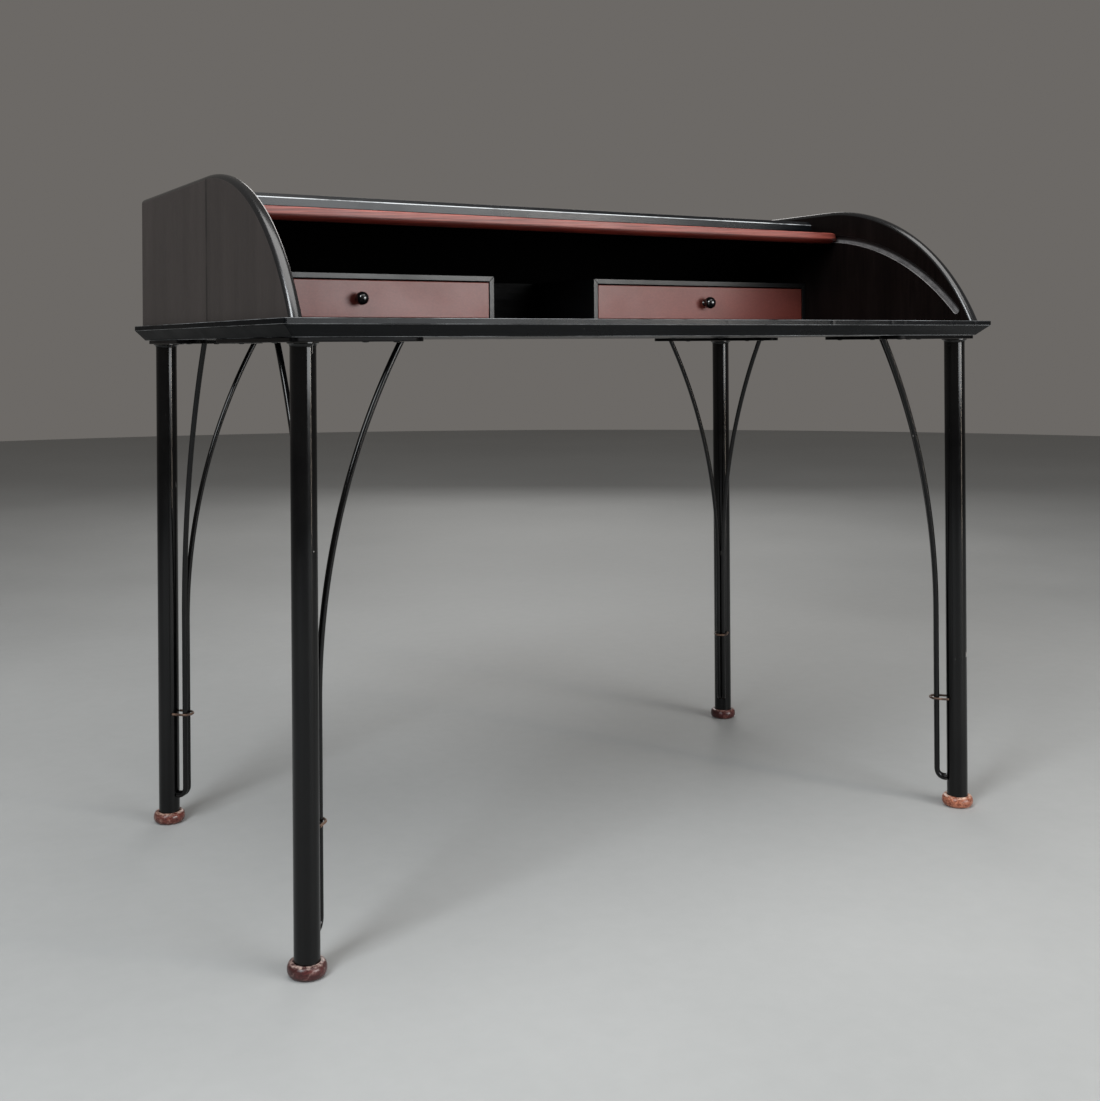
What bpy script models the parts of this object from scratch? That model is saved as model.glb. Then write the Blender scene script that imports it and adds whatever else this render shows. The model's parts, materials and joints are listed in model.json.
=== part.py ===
# Roll top desk on four steel legs.
# A moulded desk top carries two quarter-round side panels, a cover board, a back, two small
# drawer cases, and a tambour that runs in a curved groove in each side panel.
# Units are metres. +Z is up, +X is the sitter's right, +Y is the back of the desk.
# The origin is on the floor, below the middle of the desk top.
import math

import bmesh
import bpy
from mathutils import Matrix, Vector

GAP = 0.0003                      # between pieces that touch

# Legs and what is fixed to them
LEG_X = 0.5355                    # leg axis from the middle, sideways
LEG_Y = 0.2810                    # leg axis from the middle, front to back
LEG_RADIUS = 0.0153
LEG_WALL = 0.0020
COLLAR_RADIUS = 0.0185            # flared weld collar at the top of a leg
COLLAR_HEIGHT = 0.0055
FOOT_RADIUS = 0.0230
FOOT_BASE_RADIUS = 0.0185
FOOT_HEIGHT = 0.0165
FOOT_SOCKET_DEPTH = 0.0040
PLATE_THICKNESS = 0.0050
PLATE_HALF_WIDTH = 0.0220
PLATE_ARM = 0.1510                # from the leg axis to the round end of an arm
FRONT_PLATE_SIDE_ARM = 0.2700     # the front plates run further back along the sides
BRACE_RADIUS = 0.0039
BRACE_PITCH = 0.0082              # between the two braces of a leg
BRACE_STAND_OFF = 0.0296          # from the leg axis to the pair of braces
BRACE_BOTTOM = 0.0420
BRACE_BEND = 0.0120
BRACE_STRAIGHT_TOP = 0.3000       # the straight run ends and the curve starts here
BRACE_REACH = 0.1320              # from the leg axis to the top of a brace
RING_WIRE_RADIUS = 0.0017
RING_HALF_WIDTH = 0.0112
RING_REACH = 0.0393
RING_HEIGHT = 0.1650

# Desk top
TOP_LENGTH = 1.1450
TOP_DEPTH = 0.6420
TOP_Z = 0.7490                    # writing surface
TOP_THICKNESS = 0.0220
LIP_HEIGHT = 0.0070               # upright lip of the edge moulding
LIP_ARRIS = 0.0010
MOULDING_BEVEL = 0.0155           # inset of the bevel below the lip
MOULDING_WIDTH = 0.0300

# Side panels and the groove in each
PANEL_OUTER_X = 0.5612
PANEL_THICKNESS = 0.0170
PANEL_TOP = 0.9430
PANEL_BACK_Y = 0.3180
PANEL_RADIUS = 0.3450
PANEL_TANGENT_Y = 0.0020          # the level top turns into the curve here
PANEL_NOSE = 0.0050
TRACK_Y = 0.0235                  # axis of the curved track
TRACK_Z = 0.4885
TRACK_RADIUS = 0.4095
GROOVE_WIDTH = 0.0115
GROOVE_DEPTH = 0.0080
GROOVE_FRONT_DEG = 47.2           # angles run from straight up, + towards the front
GROOVE_BACK_DEG = -44.2

# Carcass between the panels
COVER_FRONT_Y = 0.0400
COVER_BOTTOM = 0.9120
COVER_THICKNESS = 0.0180
COVER_ARRIS = 0.0050
BACK_Y = 0.3105
BACK_THICKNESS = 0.0060
INNER_BACK_Y = 0.2435
INNER_BACK_THICKNESS = 0.0040
CASE_INNER_X = 0.0920
CASE_FRONT_Y = 0.0560
CASE_TOP = 0.8220
CASE_WALL = 0.0080
CASE_BACK_WALL = 0.0060

# Drawers
DRAWER_SIDE_PLAY = 0.0008
DRAWER_TOP_PLAY = 0.0012
DRAWER_BOTTOM_PLAY = 0.0006
DRAWER_FRONT_SET_BACK = 0.0005
DRAWER_FRONT_THICKNESS = 0.0160
DRAWER_FRONT_ARRIS = 0.0008
DRAWER_SIDE_THICKNESS = 0.0080
DRAWER_SIDE_HEIGHT = 0.0460
DRAWER_BOTTOM_THICKNESS = 0.0040
DRAWER_BOTTOM_RISE = 0.0050
DRAWER_BACK_Y = 0.2300
KNOB_RADIUS = 0.0100
KNOB_NECK_RADIUS = 0.0042
KNOB_NECK_LENGTH = 0.0035

# Tambour
RAIL_DEG = 5.4                    # middle of the lead rail when the desk is open
RAIL_HALF_HEIGHT = 0.0095
RAIL_HALF_DEPTH = 0.0100
RAIL_ARRIS = 0.0010
RAIL_TURN = 0.0080                # radius of the front face's turned-under lower edge
RAIL_TONGUE_FRONT = -0.0025       # along the track, from the middle of the rail
RAIL_TONGUE_HALF_THICKNESS = 0.0040
RAIL_TONGUE_ARRIS = 0.0008
RAIL_TAPER = 0.0040
SLAT_COUNT = 11
SLAT_FIRST_DEG = 3.95
SLAT_LAST_DEG = -43.90
SLAT_WIDTH = 0.0302
SLAT_HALF_THICKNESS = 0.00375
SLAT_BEAD_RISE = 0.0018
SLAT_END_X = 0.5510
RAIL_END_X = 0.5512
CANVAS_THICKNESS = 0.0008
CANVAS_HALF_LENGTH = 0.5360

# Worked out from the dimensions above
TOP_BOTTOM = TOP_Z - TOP_THICKNESS
PLATE_TOP = TOP_BOTTOM - GAP
PLATE_BOTTOM = PLATE_TOP - PLATE_THICKNESS
PANEL_INNER_X = PANEL_OUTER_X - PANEL_THICKNESS
STAND_Z = TOP_Z + GAP             # underside of what stands on the desk top
DIAGONAL = math.sqrt(0.5)
SIDES = (("left", -1), ("right", 1))
ENDS = (("front", -1), ("back", 1))


def clear_scene():
    for old in list(bpy.data.objects):
        bpy.data.objects.remove(old, do_unlink=True)


def make_material(name, colour, roughness, metallic=0.0):
    material = bpy.data.materials.new(name)
    material.use_nodes = True
    shader = material.node_tree.nodes["Principled BSDF"]
    shader.inputs["Base Color"].default_value = (*colour, 1.0)
    shader.inputs["Roughness"].default_value = roughness
    shader.inputs["Metallic"].default_value = metallic
    material.diffuse_color = (*colour, 1.0)
    return material


def add_object(name, bm, material, parent=None, location=(0.0, 0.0, 0.0), smooth_deg=None):
    """Turn a bmesh into a named object with its faces pointing out."""
    bmesh.ops.recalc_face_normals(bm, faces=bm.faces)
    mesh = bpy.data.meshes.new(name)
    bm.to_mesh(mesh)
    bm.free()
    if smooth_deg is not None:
        mesh.shade_smooth()
        mesh.set_sharp_from_angle(angle=math.radians(smooth_deg))
    mesh.materials.append(material)
    piece = bpy.data.objects.new(name, mesh)
    piece.location = location
    bpy.context.scene.collection.objects.link(piece)
    if parent is not None:
        piece.parent = parent
        piece.matrix_parent_inverse = Matrix.Translation(-parent.location)
    return piece


def add_empty(name, location):
    empty = bpy.data.objects.new(name, None)
    empty.location = location
    bpy.context.scene.collection.objects.link(empty)
    return empty


def box_mesh(low, high):
    bm = bmesh.new()
    bmesh.ops.create_cube(bm, size=1.0)
    size = Vector(high) - Vector(low)
    middle = (Vector(high) + Vector(low)) / 2
    bmesh.ops.transform(bm, matrix=Matrix.Translation(middle) @ Matrix.Diagonal((*size, 1.0)), verts=bm.verts)
    return bm


def loft_mesh(sections):
    """Join closed sections that all have the same number of points, and cap both ends."""
    bm = bmesh.new()
    rings = []
    for section in sections:
        rings.append([bm.verts.new(point) for point in section])
    for ring, next_ring in zip(rings, rings[1:]):
        for i, vert in enumerate(ring):
            j = (i + 1) % len(ring)
            bm.faces.new((vert, ring[j], next_ring[j], next_ring[i]))
    bm.faces.new(rings[0][::-1])
    bm.faces.new(rings[-1])
    return bm


def turned_mesh(profile, sides, closed=False):
    """Spin a profile of (radius, height) points about Z."""
    bm = bmesh.new()
    verts = [bm.verts.new((radius, 0.0, height)) for radius, height in profile]
    edges = [bm.edges.new(pair) for pair in zip(verts, verts[1:])]
    if closed:
        edges.append(bm.edges.new((verts[-1], verts[0])))
    bmesh.ops.spin(
        bm, geom=verts + edges, axis=(0, 0, 1), cent=(0, 0, 0),
        angle=2 * math.pi, steps=sides, use_merge=True, use_duplicate=False)
    bmesh.ops.remove_doubles(bm, verts=bm.verts, dist=1e-6)
    return bm


def arc_points(centre, radius, start_deg, end_deg, steps):
    """Points on a circle, with angles counted anticlockwise from the first axis."""
    points = []
    for i in range(steps + 1):
        angle = math.radians(start_deg + (end_deg - start_deg) * i / steps)
        points.append((centre[0] + radius * math.cos(angle), centre[1] + radius * math.sin(angle)))
    return points


def tube_rings(path, radius, sides):
    """Circles of points along a path, carried along it without twisting."""
    tangents = []
    for i in range(len(path)):
        ahead = path[min(i + 1, len(path) - 1)]
        behind = path[max(i - 1, 0)]
        tangents.append((ahead - behind).normalized())
    across = tangents[0].orthogonal().normalized()
    rings = []
    for i, point in enumerate(path):
        if i > 0:
            across.rotate(tangents[i - 1].rotation_difference(tangents[i]))
        ring = []
        for k in range(sides):
            turn = Matrix.Rotation(2 * math.pi * k / sides, 3, tangents[i])
            ring.append(point + turn @ across * radius)
        rings.append(ring)
    return rings


def end_on_leg(ring, direction):
    """Slide a tube's end ring along a level direction until it meets the leg at the origin."""
    across = Vector((-direction.y, direction.x, 0.0))
    offsets = [point.dot(across) for point in ring]
    nearest = min(abs(offset) for offset in offsets)
    along = math.sqrt((LEG_RADIUS + GAP) ** 2 - nearest ** 2)
    return [across * offset + direction * along + Vector((0.0, 0.0, point.z)) for offset, point in zip(offsets, ring)]


def end_on_plate(ring, direction):
    """Slide a tube's end ring along its own direction until it meets the plate above."""
    height = PLATE_BOTTOM - GAP
    return [point + direction * ((height - point.z) / direction.z) for point in ring]


def corner_points(points, side_sign, end_sign):
    """Carry points from a leg's own frame, which points to the desk's middle, to the desk."""
    return [Vector((-side_sign * point[0], -end_sign * point[1], point[2])) for point in points]


def on_track(degrees, radial=0.0, along=0.0):
    """A point (y, z) by the track: + radial is outwards, + along is towards the front."""
    angle = math.radians(degrees)
    reach = TRACK_RADIUS + radial
    y = TRACK_Y - reach * math.sin(angle) - along * math.cos(angle)
    z = TRACK_Z + reach * math.cos(angle) - along * math.sin(angle)
    return y, z


def make_foot(name, location, material):
    socket_floor = FOOT_HEIGHT - FOOT_SOCKET_DEPTH
    socket_radius = LEG_RADIUS + GAP
    middle = FOOT_HEIGHT * 0.52
    profile = [(0.0, 0.0), (FOOT_BASE_RADIUS, 0.0)]
    bulge = FOOT_RADIUS - FOOT_BASE_RADIUS
    for i in range(7):
        angle = math.radians(-78 + 156 * i / 6)
        profile.append((FOOT_BASE_RADIUS + bulge * math.cos(angle), middle + 0.46 * FOOT_HEIGHT * math.sin(angle)))
    profile += [(FOOT_BASE_RADIUS - 0.0008, FOOT_HEIGHT), (socket_radius, FOOT_HEIGHT)]
    profile += [(socket_radius, socket_floor), (0.0, socket_floor)]
    return add_object(name, turned_mesh(profile, 28), material, location=location, smooth_deg=40)


def make_leg(name, location, material):
    low = FOOT_HEIGHT - FOOT_SOCKET_DEPTH + GAP
    high = PLATE_BOTTOM - GAP
    bore = LEG_RADIUS - LEG_WALL
    profile = [
        (bore, low), (LEG_RADIUS, low), (LEG_RADIUS, high - COLLAR_HEIGHT),
        (LEG_RADIUS + 0.0008, high - 0.55 * COLLAR_HEIGHT), (COLLAR_RADIUS, high - 0.0006),
        (COLLAR_RADIUS, high), (bore, high)]
    return add_object(name, turned_mesh(profile, 28, closed=True), material, location=location, smooth_deg=40)


def make_top_plate(name, side_sign, end_sign, location, material):
    """L-shaped plate with round ends; its arms point along the desk and across it."""
    half = PLATE_HALF_WIDTH
    side_arm = FRONT_PLATE_SIDE_ARM if end_sign < 0 else PLATE_ARM
    corner = half * 0.4
    outline = arc_points((corner - half, corner - half), corner, 180, 270, 4)
    outline += arc_points((PLATE_ARM - half, 0.0), half, -90, 90, 12)
    outline.append((half, half))
    outline += arc_points((0.0, side_arm - half), half, 0, 180, 12)
    sections = [[(x, y, z) for x, y in outline] for z in (PLATE_BOTTOM, PLATE_TOP)]
    sections = [corner_points(section, side_sign, end_sign) for section in sections]
    return add_object(name, loft_mesh(sections), material, location=location)


def make_brace(name, along_desk, side_sign, end_sign, location, material):
    """A rod that rises beside the leg, then curves out to the arm of the plate."""
    near = BRACE_STAND_OFF * DIAGONAL - BRACE_PITCH / 2 * DIAGONAL
    far = BRACE_STAND_OFF * DIAGONAL + BRACE_PITCH / 2 * DIAGONAL
    inward = Vector((DIAGONAL, DIAGONAL, 0.0))
    foot_point = Vector((far, near, 0.0))
    top_z = PLATE_BOTTOM - GAP
    rise = top_z - BRACE_STRAIGHT_TOP
    reach = BRACE_REACH - far
    curve_radius = (rise ** 2 + reach ** 2) / (2 * reach)
    sweep = math.degrees(math.asin(rise / curve_radius))

    path = [foot_point - inward * (BRACE_BEND + 0.002) + Vector((0, 0, BRACE_BOTTOM))]
    for along, up in arc_points((-BRACE_BEND, BRACE_BOTTOM + BRACE_BEND), BRACE_BEND, -90, 0, 5):
        path.append(foot_point + inward * along + Vector((0, 0, up)))
    for out, up in arc_points((far + curve_radius, BRACE_STRAIGHT_TOP), curve_radius, 180, 180 - sweep, 16):
        path.append(Vector((out, near, up)))
    rings = tube_rings(path, BRACE_RADIUS, 10)
    rings[0] = end_on_leg(rings[0], inward)
    rings[-1] = end_on_plate(rings[-1], (path[-1] - path[-2]).normalized())
    if not along_desk:
        rings = [[Vector((point.y, point.x, point.z)) for point in ring] for ring in rings]
    rings = [corner_points(ring, side_sign, end_sign) for ring in rings]
    return add_object(name, loft_mesh(rings), material, location=location, smooth_deg=50)


def make_tie_ring(name, side_sign, end_sign, location, material):
    """A loop of wire that holds the pair of braces to the leg."""
    inward = Vector((DIAGONAL, DIAGONAL, 0.0))
    across = Vector((-DIAGONAL, DIAGONAL, 0.0))
    bend_centre = RING_REACH - RING_HALF_WIDTH
    route = [(0.5 * LEG_RADIUS, RING_HALF_WIDTH)]
    route += [(x, -y) for x, y in arc_points((bend_centre, 0.0), RING_HALF_WIDTH, -90, 90, 10)]
    route.append((0.5 * LEG_RADIUS, -RING_HALF_WIDTH))
    path = [inward * x + across * y + Vector((0, 0, RING_HEIGHT)) for x, y in route]
    rings = tube_rings(path, RING_WIRE_RADIUS, 8)
    rings[0] = end_on_leg(rings[0], inward)
    rings[-1] = end_on_leg(rings[-1], inward)
    rings = [corner_points(ring, side_sign, end_sign) for ring in rings]
    return add_object(name, loft_mesh(rings), material, location=location, smooth_deg=50)


def make_leg_sets(materials):
    for side, side_sign in SIDES:
        for end, end_sign in ENDS:
            place = (side_sign * LEG_X, end_sign * LEG_Y, 0.0)
            corner = f"{end}_{side}"
            make_foot(f"{corner}_foot", place, materials["foot_wood"])
            make_leg(f"{corner}_leg", place, materials["black_steel"])
            make_top_plate(f"{corner}_top_plate", side_sign, end_sign, place, materials["black_steel"])
            make_brace(f"{corner}_long_brace", True, side_sign, end_sign, place, materials["black_steel"])
            make_brace(f"{corner}_side_brace", False, side_sign, end_sign, place, materials["black_steel"])
            make_tie_ring(f"{corner}_tie_ring", side_sign, end_sign, place, materials["ring_wire"])


def moulding_profile():
    """Points (inset from the outer edge, height): an upright lip over a slightly full bevel."""
    lip_foot = TOP_Z - LIP_HEIGHT
    profile = [(MOULDING_WIDTH, TOP_Z), (LIP_ARRIS, TOP_Z), (0.0, TOP_Z - LIP_ARRIS), (0.0, lip_foot)]
    start = Vector((0.0008, lip_foot - 0.0006))
    end = Vector((MOULDING_BEVEL, TOP_BOTTOM))
    normal = Vector((start.y - end.y, start.x - end.x)).normalized()
    steps = 5
    fullness = 0.0012
    for i in range(steps + 1):
        share = i / steps
        bulge = fullness * 4 * share * (1 - share)
        point = start.lerp(end, share) - normal * bulge
        profile.append((point.x, point.y))
    profile.append((MOULDING_WIDTH, TOP_BOTTOM))
    return profile


def make_desk_top(materials):
    half_length = TOP_LENGTH / 2
    half_depth = TOP_DEPTH / 2
    inset = MOULDING_WIDTH + GAP
    board = box_mesh((-half_length + inset, -half_depth + inset, TOP_BOTTOM), (half_length - inset, half_depth, TOP_Z))
    add_object("desk_top", board, materials["black_lacquer"])

    mitre = GAP / 2
    profile = moulding_profile()
    ends = []
    for sign in (-1, 1):
        ends.append([(sign * (half_length - u - mitre), -half_depth + u, z) for u, z in profile])
    add_object("front_edge_moulding", loft_mesh(ends), materials["black_lacquer"])
    for side, sign in SIDES:
        front = [(sign * (half_length - u), -half_depth + u + mitre, z) for u, z in profile]
        back = [(sign * (half_length - u), half_depth, z) for u, z in profile]
        add_object(f"{side}_edge_moulding", loft_mesh([front, back]), materials["black_lacquer"])


def panel_outline():
    """Side view (y, z) of a side panel: upright back, level top, then a quarter-round front."""
    centre_z = PANEL_TOP - PANEL_RADIUS
    drop = STAND_Z - centre_z
    front_deg = 180 - math.degrees(math.asin(drop / PANEL_RADIUS))
    outline = [(PANEL_BACK_Y, STAND_Z), (PANEL_BACK_Y, PANEL_TOP)]
    outline += arc_points((PANEL_TANGENT_Y, centre_z), PANEL_RADIUS, 90, front_deg, 32)
    return outline


def groove_outline():
    """Side view (y, z) of the tambour groove, an arc of one width with round ends."""
    half = GROOVE_WIDTH / 2
    front = 90 + GROOVE_FRONT_DEG
    back = 90 + GROOVE_BACK_DEG
    centre = (TRACK_Y, TRACK_Z)
    front_end = arc_points(centre, TRACK_RADIUS, front, front, 1)[0]
    back_end = arc_points(centre, TRACK_RADIUS, back, back, 1)[0]
    outline = arc_points(centre, TRACK_RADIUS + half, back, front, 56)
    outline += arc_points(front_end, half, front, front + 180, 8)[1:-1]
    outline += arc_points(centre, TRACK_RADIUS - half, front, back, 56)
    outline += arc_points(back_end, half, back + 180, back + 360, 8)[1:-1]
    return outline


def make_side_panel(side, sign, material):
    outer = sign * PANEL_OUTER_X
    inner = sign * PANEL_INNER_X
    outline = panel_outline()
    bm = loft_mesh([[(x, y, z) for y, z in outline] for x in (outer, inner)])
    weights = bm.edges.layers.float.new("bevel_weight_edge")
    for edge in bm.edges:
        a, b = edge.verts
        level = abs(a.co.x - b.co.x) < GAP
        on_back = abs(a.co.y - PANEL_BACK_Y) < GAP and abs(b.co.y - PANEL_BACK_Y) < GAP
        on_base = abs(a.co.z - STAND_Z) < GAP and abs(b.co.z - STAND_Z) < GAP
        if level and not on_back and not on_base:
            edge[weights] = 1.0
    panel = add_object(f"{side}_side_panel", bm, material)
    nose = panel.modifiers.new("nose", "BEVEL")
    nose.limit_method = "WEIGHT"
    nose.width = PANEL_NOSE
    nose.segments = 3

    slot = groove_outline()
    floor_x = sign * (PANEL_INNER_X + GROOVE_DEPTH)
    mouth_x = sign * (PANEL_INNER_X - GROOVE_DEPTH)
    cutter = add_object(
        f"{side}_groove_cutter", loft_mesh([[(x, y, z) for y, z in slot] for x in (floor_x, mouth_x)]), material)
    cutter.hide_render = True
    cutter.display_type = "WIRE"
    groove = panel.modifiers.new("groove", "BOOLEAN")
    groove.operation = "DIFFERENCE"
    groove.object = cutter


def make_carcass(materials):
    for side, sign in SIDES:
        make_side_panel(side, sign, materials["dark_veneer"])

    half = PANEL_INNER_X - GAP
    cover_top = COVER_BOTTOM + COVER_THICKNESS
    back_face = BACK_Y + BACK_THICKNESS
    front = COVER_FRONT_Y
    section = [(back_face, COVER_BOTTOM), (back_face, cover_top), (front + COVER_ARRIS, cover_top)]
    section += arc_points((front + COVER_ARRIS, cover_top - COVER_ARRIS), COVER_ARRIS, 90, 180, 5)[1:]
    section += [(front, COVER_BOTTOM + 0.001), (front + 0.001, COVER_BOTTOM)]
    cover = loft_mesh([[(x, y, z) for y, z in section] for x in (-half, half)])
    add_object("cover_board", cover, materials["black_lacquer"])

    back = box_mesh((-half, BACK_Y, STAND_Z), (half, back_face, COVER_BOTTOM - GAP))
    add_object("back_panel", back, materials["black_lacquer"])
    inner_low = (-half, INNER_BACK_Y, STAND_Z)
    inner_high = (half, INNER_BACK_Y + INNER_BACK_THICKNESS, CASE_TOP)
    add_object("inner_back", box_mesh(inner_low, inner_high), materials["dark_veneer"])


def make_drawer_case(side, sign, material):
    """A box open at the front: the front face is inset by the walls and pushed back."""
    case_back = INNER_BACK_Y - GAP
    xs = sorted((sign * CASE_INNER_X, sign * (PANEL_INNER_X - GAP)))
    bm = box_mesh((xs[0], CASE_FRONT_Y, STAND_Z), (xs[1], case_back, CASE_TOP))
    front = min(bm.faces, key=lambda face: face.calc_center_median().y)
    bmesh.ops.inset_region(bm, faces=[front], thickness=CASE_WALL, use_even_offset=True)
    depth = case_back - CASE_BACK_WALL - CASE_FRONT_Y
    pushed = bmesh.ops.extrude_discrete_faces(bm, faces=[front])["faces"]
    bmesh.ops.translate(bm, verts=pushed[0].verts, vec=(0.0, depth, 0.0))
    add_object(f"{side}_drawer_case", bm, material)


def make_drawer(side, sign, materials):
    """Front, two sides, back, bottom and knob, all on one slide."""
    xs = sorted((sign * (CASE_INNER_X + CASE_WALL), sign * (PANEL_INNER_X - GAP - CASE_WALL)))
    low_x = xs[0] + DRAWER_SIDE_PLAY
    high_x = xs[1] - DRAWER_SIDE_PLAY
    low_z = STAND_Z + CASE_WALL + DRAWER_BOTTOM_PLAY
    high_z = CASE_TOP - CASE_WALL - DRAWER_TOP_PLAY
    front_y = CASE_FRONT_Y + DRAWER_FRONT_SET_BACK
    box_y = front_y + DRAWER_FRONT_THICKNESS + GAP
    side_top = low_z + DRAWER_SIDE_HEIGHT
    wall = DRAWER_SIDE_THICKNESS
    slide = add_empty(f"{side}_drawer_slide", ((low_x + high_x) / 2, front_y, (low_z + high_z) / 2))

    front = box_mesh((low_x, front_y, low_z), (high_x, front_y + DRAWER_FRONT_THICKNESS, high_z))
    face = min(front.faces, key=lambda f: f.calc_center_median().y)
    bmesh.ops.bevel(
        front, geom=list(face.edges), offset=DRAWER_FRONT_ARRIS, segments=2, affect="EDGES", profile=0.5)
    add_object(f"{side}_drawer_front", front, materials["drawer_red"], parent=slide)

    for wall_name, x in (("outer", low_x), ("inner", high_x - wall)):
        name = wall_name if sign < 0 else {"outer": "inner", "inner": "outer"}[wall_name]
        part = box_mesh((x, box_y, low_z), (x + wall, DRAWER_BACK_Y, side_top))
        add_object(f"{side}_drawer_{name}_side", part, materials["drawer_box"], parent=slide)

    inside_low_x = low_x + wall + GAP
    inside_high_x = high_x - wall - GAP
    back_y = DRAWER_BACK_Y - wall
    back = box_mesh((inside_low_x, back_y, low_z), (inside_high_x, DRAWER_BACK_Y, side_top))
    add_object(f"{side}_drawer_back", back, materials["drawer_box"], parent=slide)
    floor_z = low_z + DRAWER_BOTTOM_RISE
    floor_high = (inside_high_x, back_y - GAP, floor_z + DRAWER_BOTTOM_THICKNESS)
    floor = box_mesh((inside_low_x, box_y, floor_z), floor_high)
    add_object(f"{side}_drawer_bottom", floor, materials["drawer_box"], parent=slide)

    centre = KNOB_NECK_LENGTH + KNOB_RADIUS * 0.95
    neck_deg = -math.degrees(math.acos(KNOB_NECK_RADIUS / KNOB_RADIUS))
    profile = [(0.0, 0.0), (KNOB_NECK_RADIUS + 0.0016, 0.0), (KNOB_NECK_RADIUS + 0.0012, 0.0008)]
    profile.append((KNOB_NECK_RADIUS, 0.0014))
    profile += arc_points((0.0, centre), KNOB_RADIUS, neck_deg, 84, 10)
    profile.append((0.0, centre + KNOB_RADIUS))
    knob = turned_mesh(profile, 20)
    bmesh.ops.rotate(knob, verts=knob.verts, cent=(0, 0, 0), matrix=Matrix.Rotation(math.pi / 2, 3, "X"))
    place = (slide.location.x, front_y - GAP, slide.location.z)
    add_object(f"{side}_drawer_knob", knob, materials["black_gloss"], parent=slide, location=place, smooth_deg=40)


def rail_section(half_height, front, back, arris, turn):
    """Points (along, radial) of the lead rail: a flat front that turns under at its lower edge."""
    points = [(back, half_height), (back, -half_height)]
    points += arc_points((front - turn, -half_height + turn), turn, -90, 0, 6)
    points += arc_points((front - arris, half_height - arris), arris, 0, 90, 3)
    return points


def make_lead_rail(pivot, material):
    full = rail_section(RAIL_HALF_HEIGHT, RAIL_HALF_DEPTH, -RAIL_HALF_DEPTH, RAIL_ARRIS, RAIL_TURN)
    taper = rail_section(
        RAIL_HALF_HEIGHT - 0.0015, RAIL_HALF_DEPTH - 0.0030, -RAIL_HALF_DEPTH, RAIL_ARRIS, RAIL_TURN - 0.0010)
    tongue = rail_section(
        RAIL_TONGUE_HALF_THICKNESS, RAIL_TONGUE_FRONT, -RAIL_HALF_DEPTH, RAIL_TONGUE_ARRIS, RAIL_TONGUE_ARRIS)
    shoulder = PANEL_INNER_X - 0.0010
    stations = [
        (RAIL_END_X, tongue), (shoulder, tongue), (shoulder - 0.0002, taper), (shoulder - RAIL_TAPER, full)]
    stations += [(-x, section) for x, section in reversed(stations)]
    sections = []
    for x, section in stations:
        sections.append([(x, *on_track(RAIL_DEG, radial, along)) for along, radial in section])
    add_object("lead_rail", loft_mesh(sections), material, parent=pivot, smooth_deg=35)


def slat_section():
    """Points (along, radial) of a slat: flat inside, two low beads outside."""
    half = SLAT_WIDTH / 2
    base = SLAT_HALF_THICKNESS - SLAT_BEAD_RISE
    points = [(half, -SLAT_HALF_THICKNESS), (half, base)]
    steps = 5
    for bead in (0, 1):
        for i in range(1, steps + 1):
            share = i / steps
            along = half - half * (bead + share)
            points.append((along, base + SLAT_BEAD_RISE * math.sin(math.pi * share)))
    points.append((-half, -SLAT_HALF_THICKNESS))
    return points


def make_tambour(materials):
    pivot = add_empty("tambour_pivot", (0.0, TRACK_Y, TRACK_Z))
    make_lead_rail(pivot, materials["rail_red"])

    pitch_deg = (SLAT_FIRST_DEG - SLAT_LAST_DEG) / SLAT_COUNT
    section = slat_section()
    for i in range(SLAT_COUNT):
        middle_deg = SLAT_FIRST_DEG - pitch_deg * (i + 0.5)
        chord_drop = SLAT_HALF_THICKNESS * 0.02
        outline = [on_track(middle_deg, radial - chord_drop, along) for along, radial in section]
        slat = loft_mesh([[(x, y, z) for y, z in outline] for x in (-SLAT_END_X, SLAT_END_X)])
        add_object(f"slat_{i + 1:02d}", slat, materials["slat_black"], parent=pivot, smooth_deg=35)

    outer = TRACK_RADIUS - SLAT_HALF_THICKNESS - 2 * GAP
    start = 90 + SLAT_FIRST_DEG
    end = 90 + SLAT_LAST_DEG
    steps = 3 * SLAT_COUNT
    outline = arc_points((TRACK_Y, TRACK_Z), outer, start, end, steps)
    outline += arc_points((TRACK_Y, TRACK_Z), outer - CANVAS_THICKNESS, end, start, steps)
    half = CANVAS_HALF_LENGTH
    canvas = loft_mesh([[(x, y, z) for y, z in outline] for x in (-half, half)])
    add_object("canvas_backing", canvas, materials["canvas"], parent=pivot)


def main():
    clear_scene()
    materials = {
        "black_lacquer": make_material("black_lacquer", (0.020, 0.022, 0.026), 0.30),
        "dark_veneer": make_material("dark_veneer", (0.035, 0.030, 0.028), 0.38),
        "black_steel": make_material("black_steel", (0.015, 0.015, 0.017), 0.32, 0.0),
        "ring_wire": make_material("ring_wire", (0.120, 0.035, 0.025), 0.45, 0.4),
        "foot_wood": make_material("foot_wood", (0.180, 0.045, 0.035), 0.35),
        "rail_red": make_material("rail_red", (0.300, 0.055, 0.040), 0.35),
        "drawer_red": make_material("drawer_red", (0.160, 0.050, 0.045), 0.40),
        "drawer_box": make_material("drawer_box", (0.320, 0.240, 0.160), 0.55),
        "black_gloss": make_material("black_gloss", (0.008, 0.008, 0.009), 0.15),
        "slat_black": make_material("slat_black", (0.020, 0.020, 0.022), 0.40),
        "canvas": make_material("canvas", (0.030, 0.030, 0.030), 0.90),
    }
    make_leg_sets(materials)
    make_desk_top(materials)
    make_carcass(materials)
    for side, sign in SIDES:
        make_drawer_case(side, sign, materials["black_lacquer"])
        make_drawer(side, sign, materials)
    make_tambour(materials)


main()
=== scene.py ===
# Roll top desk on four steel legs: the finished surfaces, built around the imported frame.
# Units are metres, +Z is up, +X is the sitter's right, +Y is the back of the desk.
import json
import math
import random

import bmesh
import bpy
from mathutils import Matrix, Vector


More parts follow.
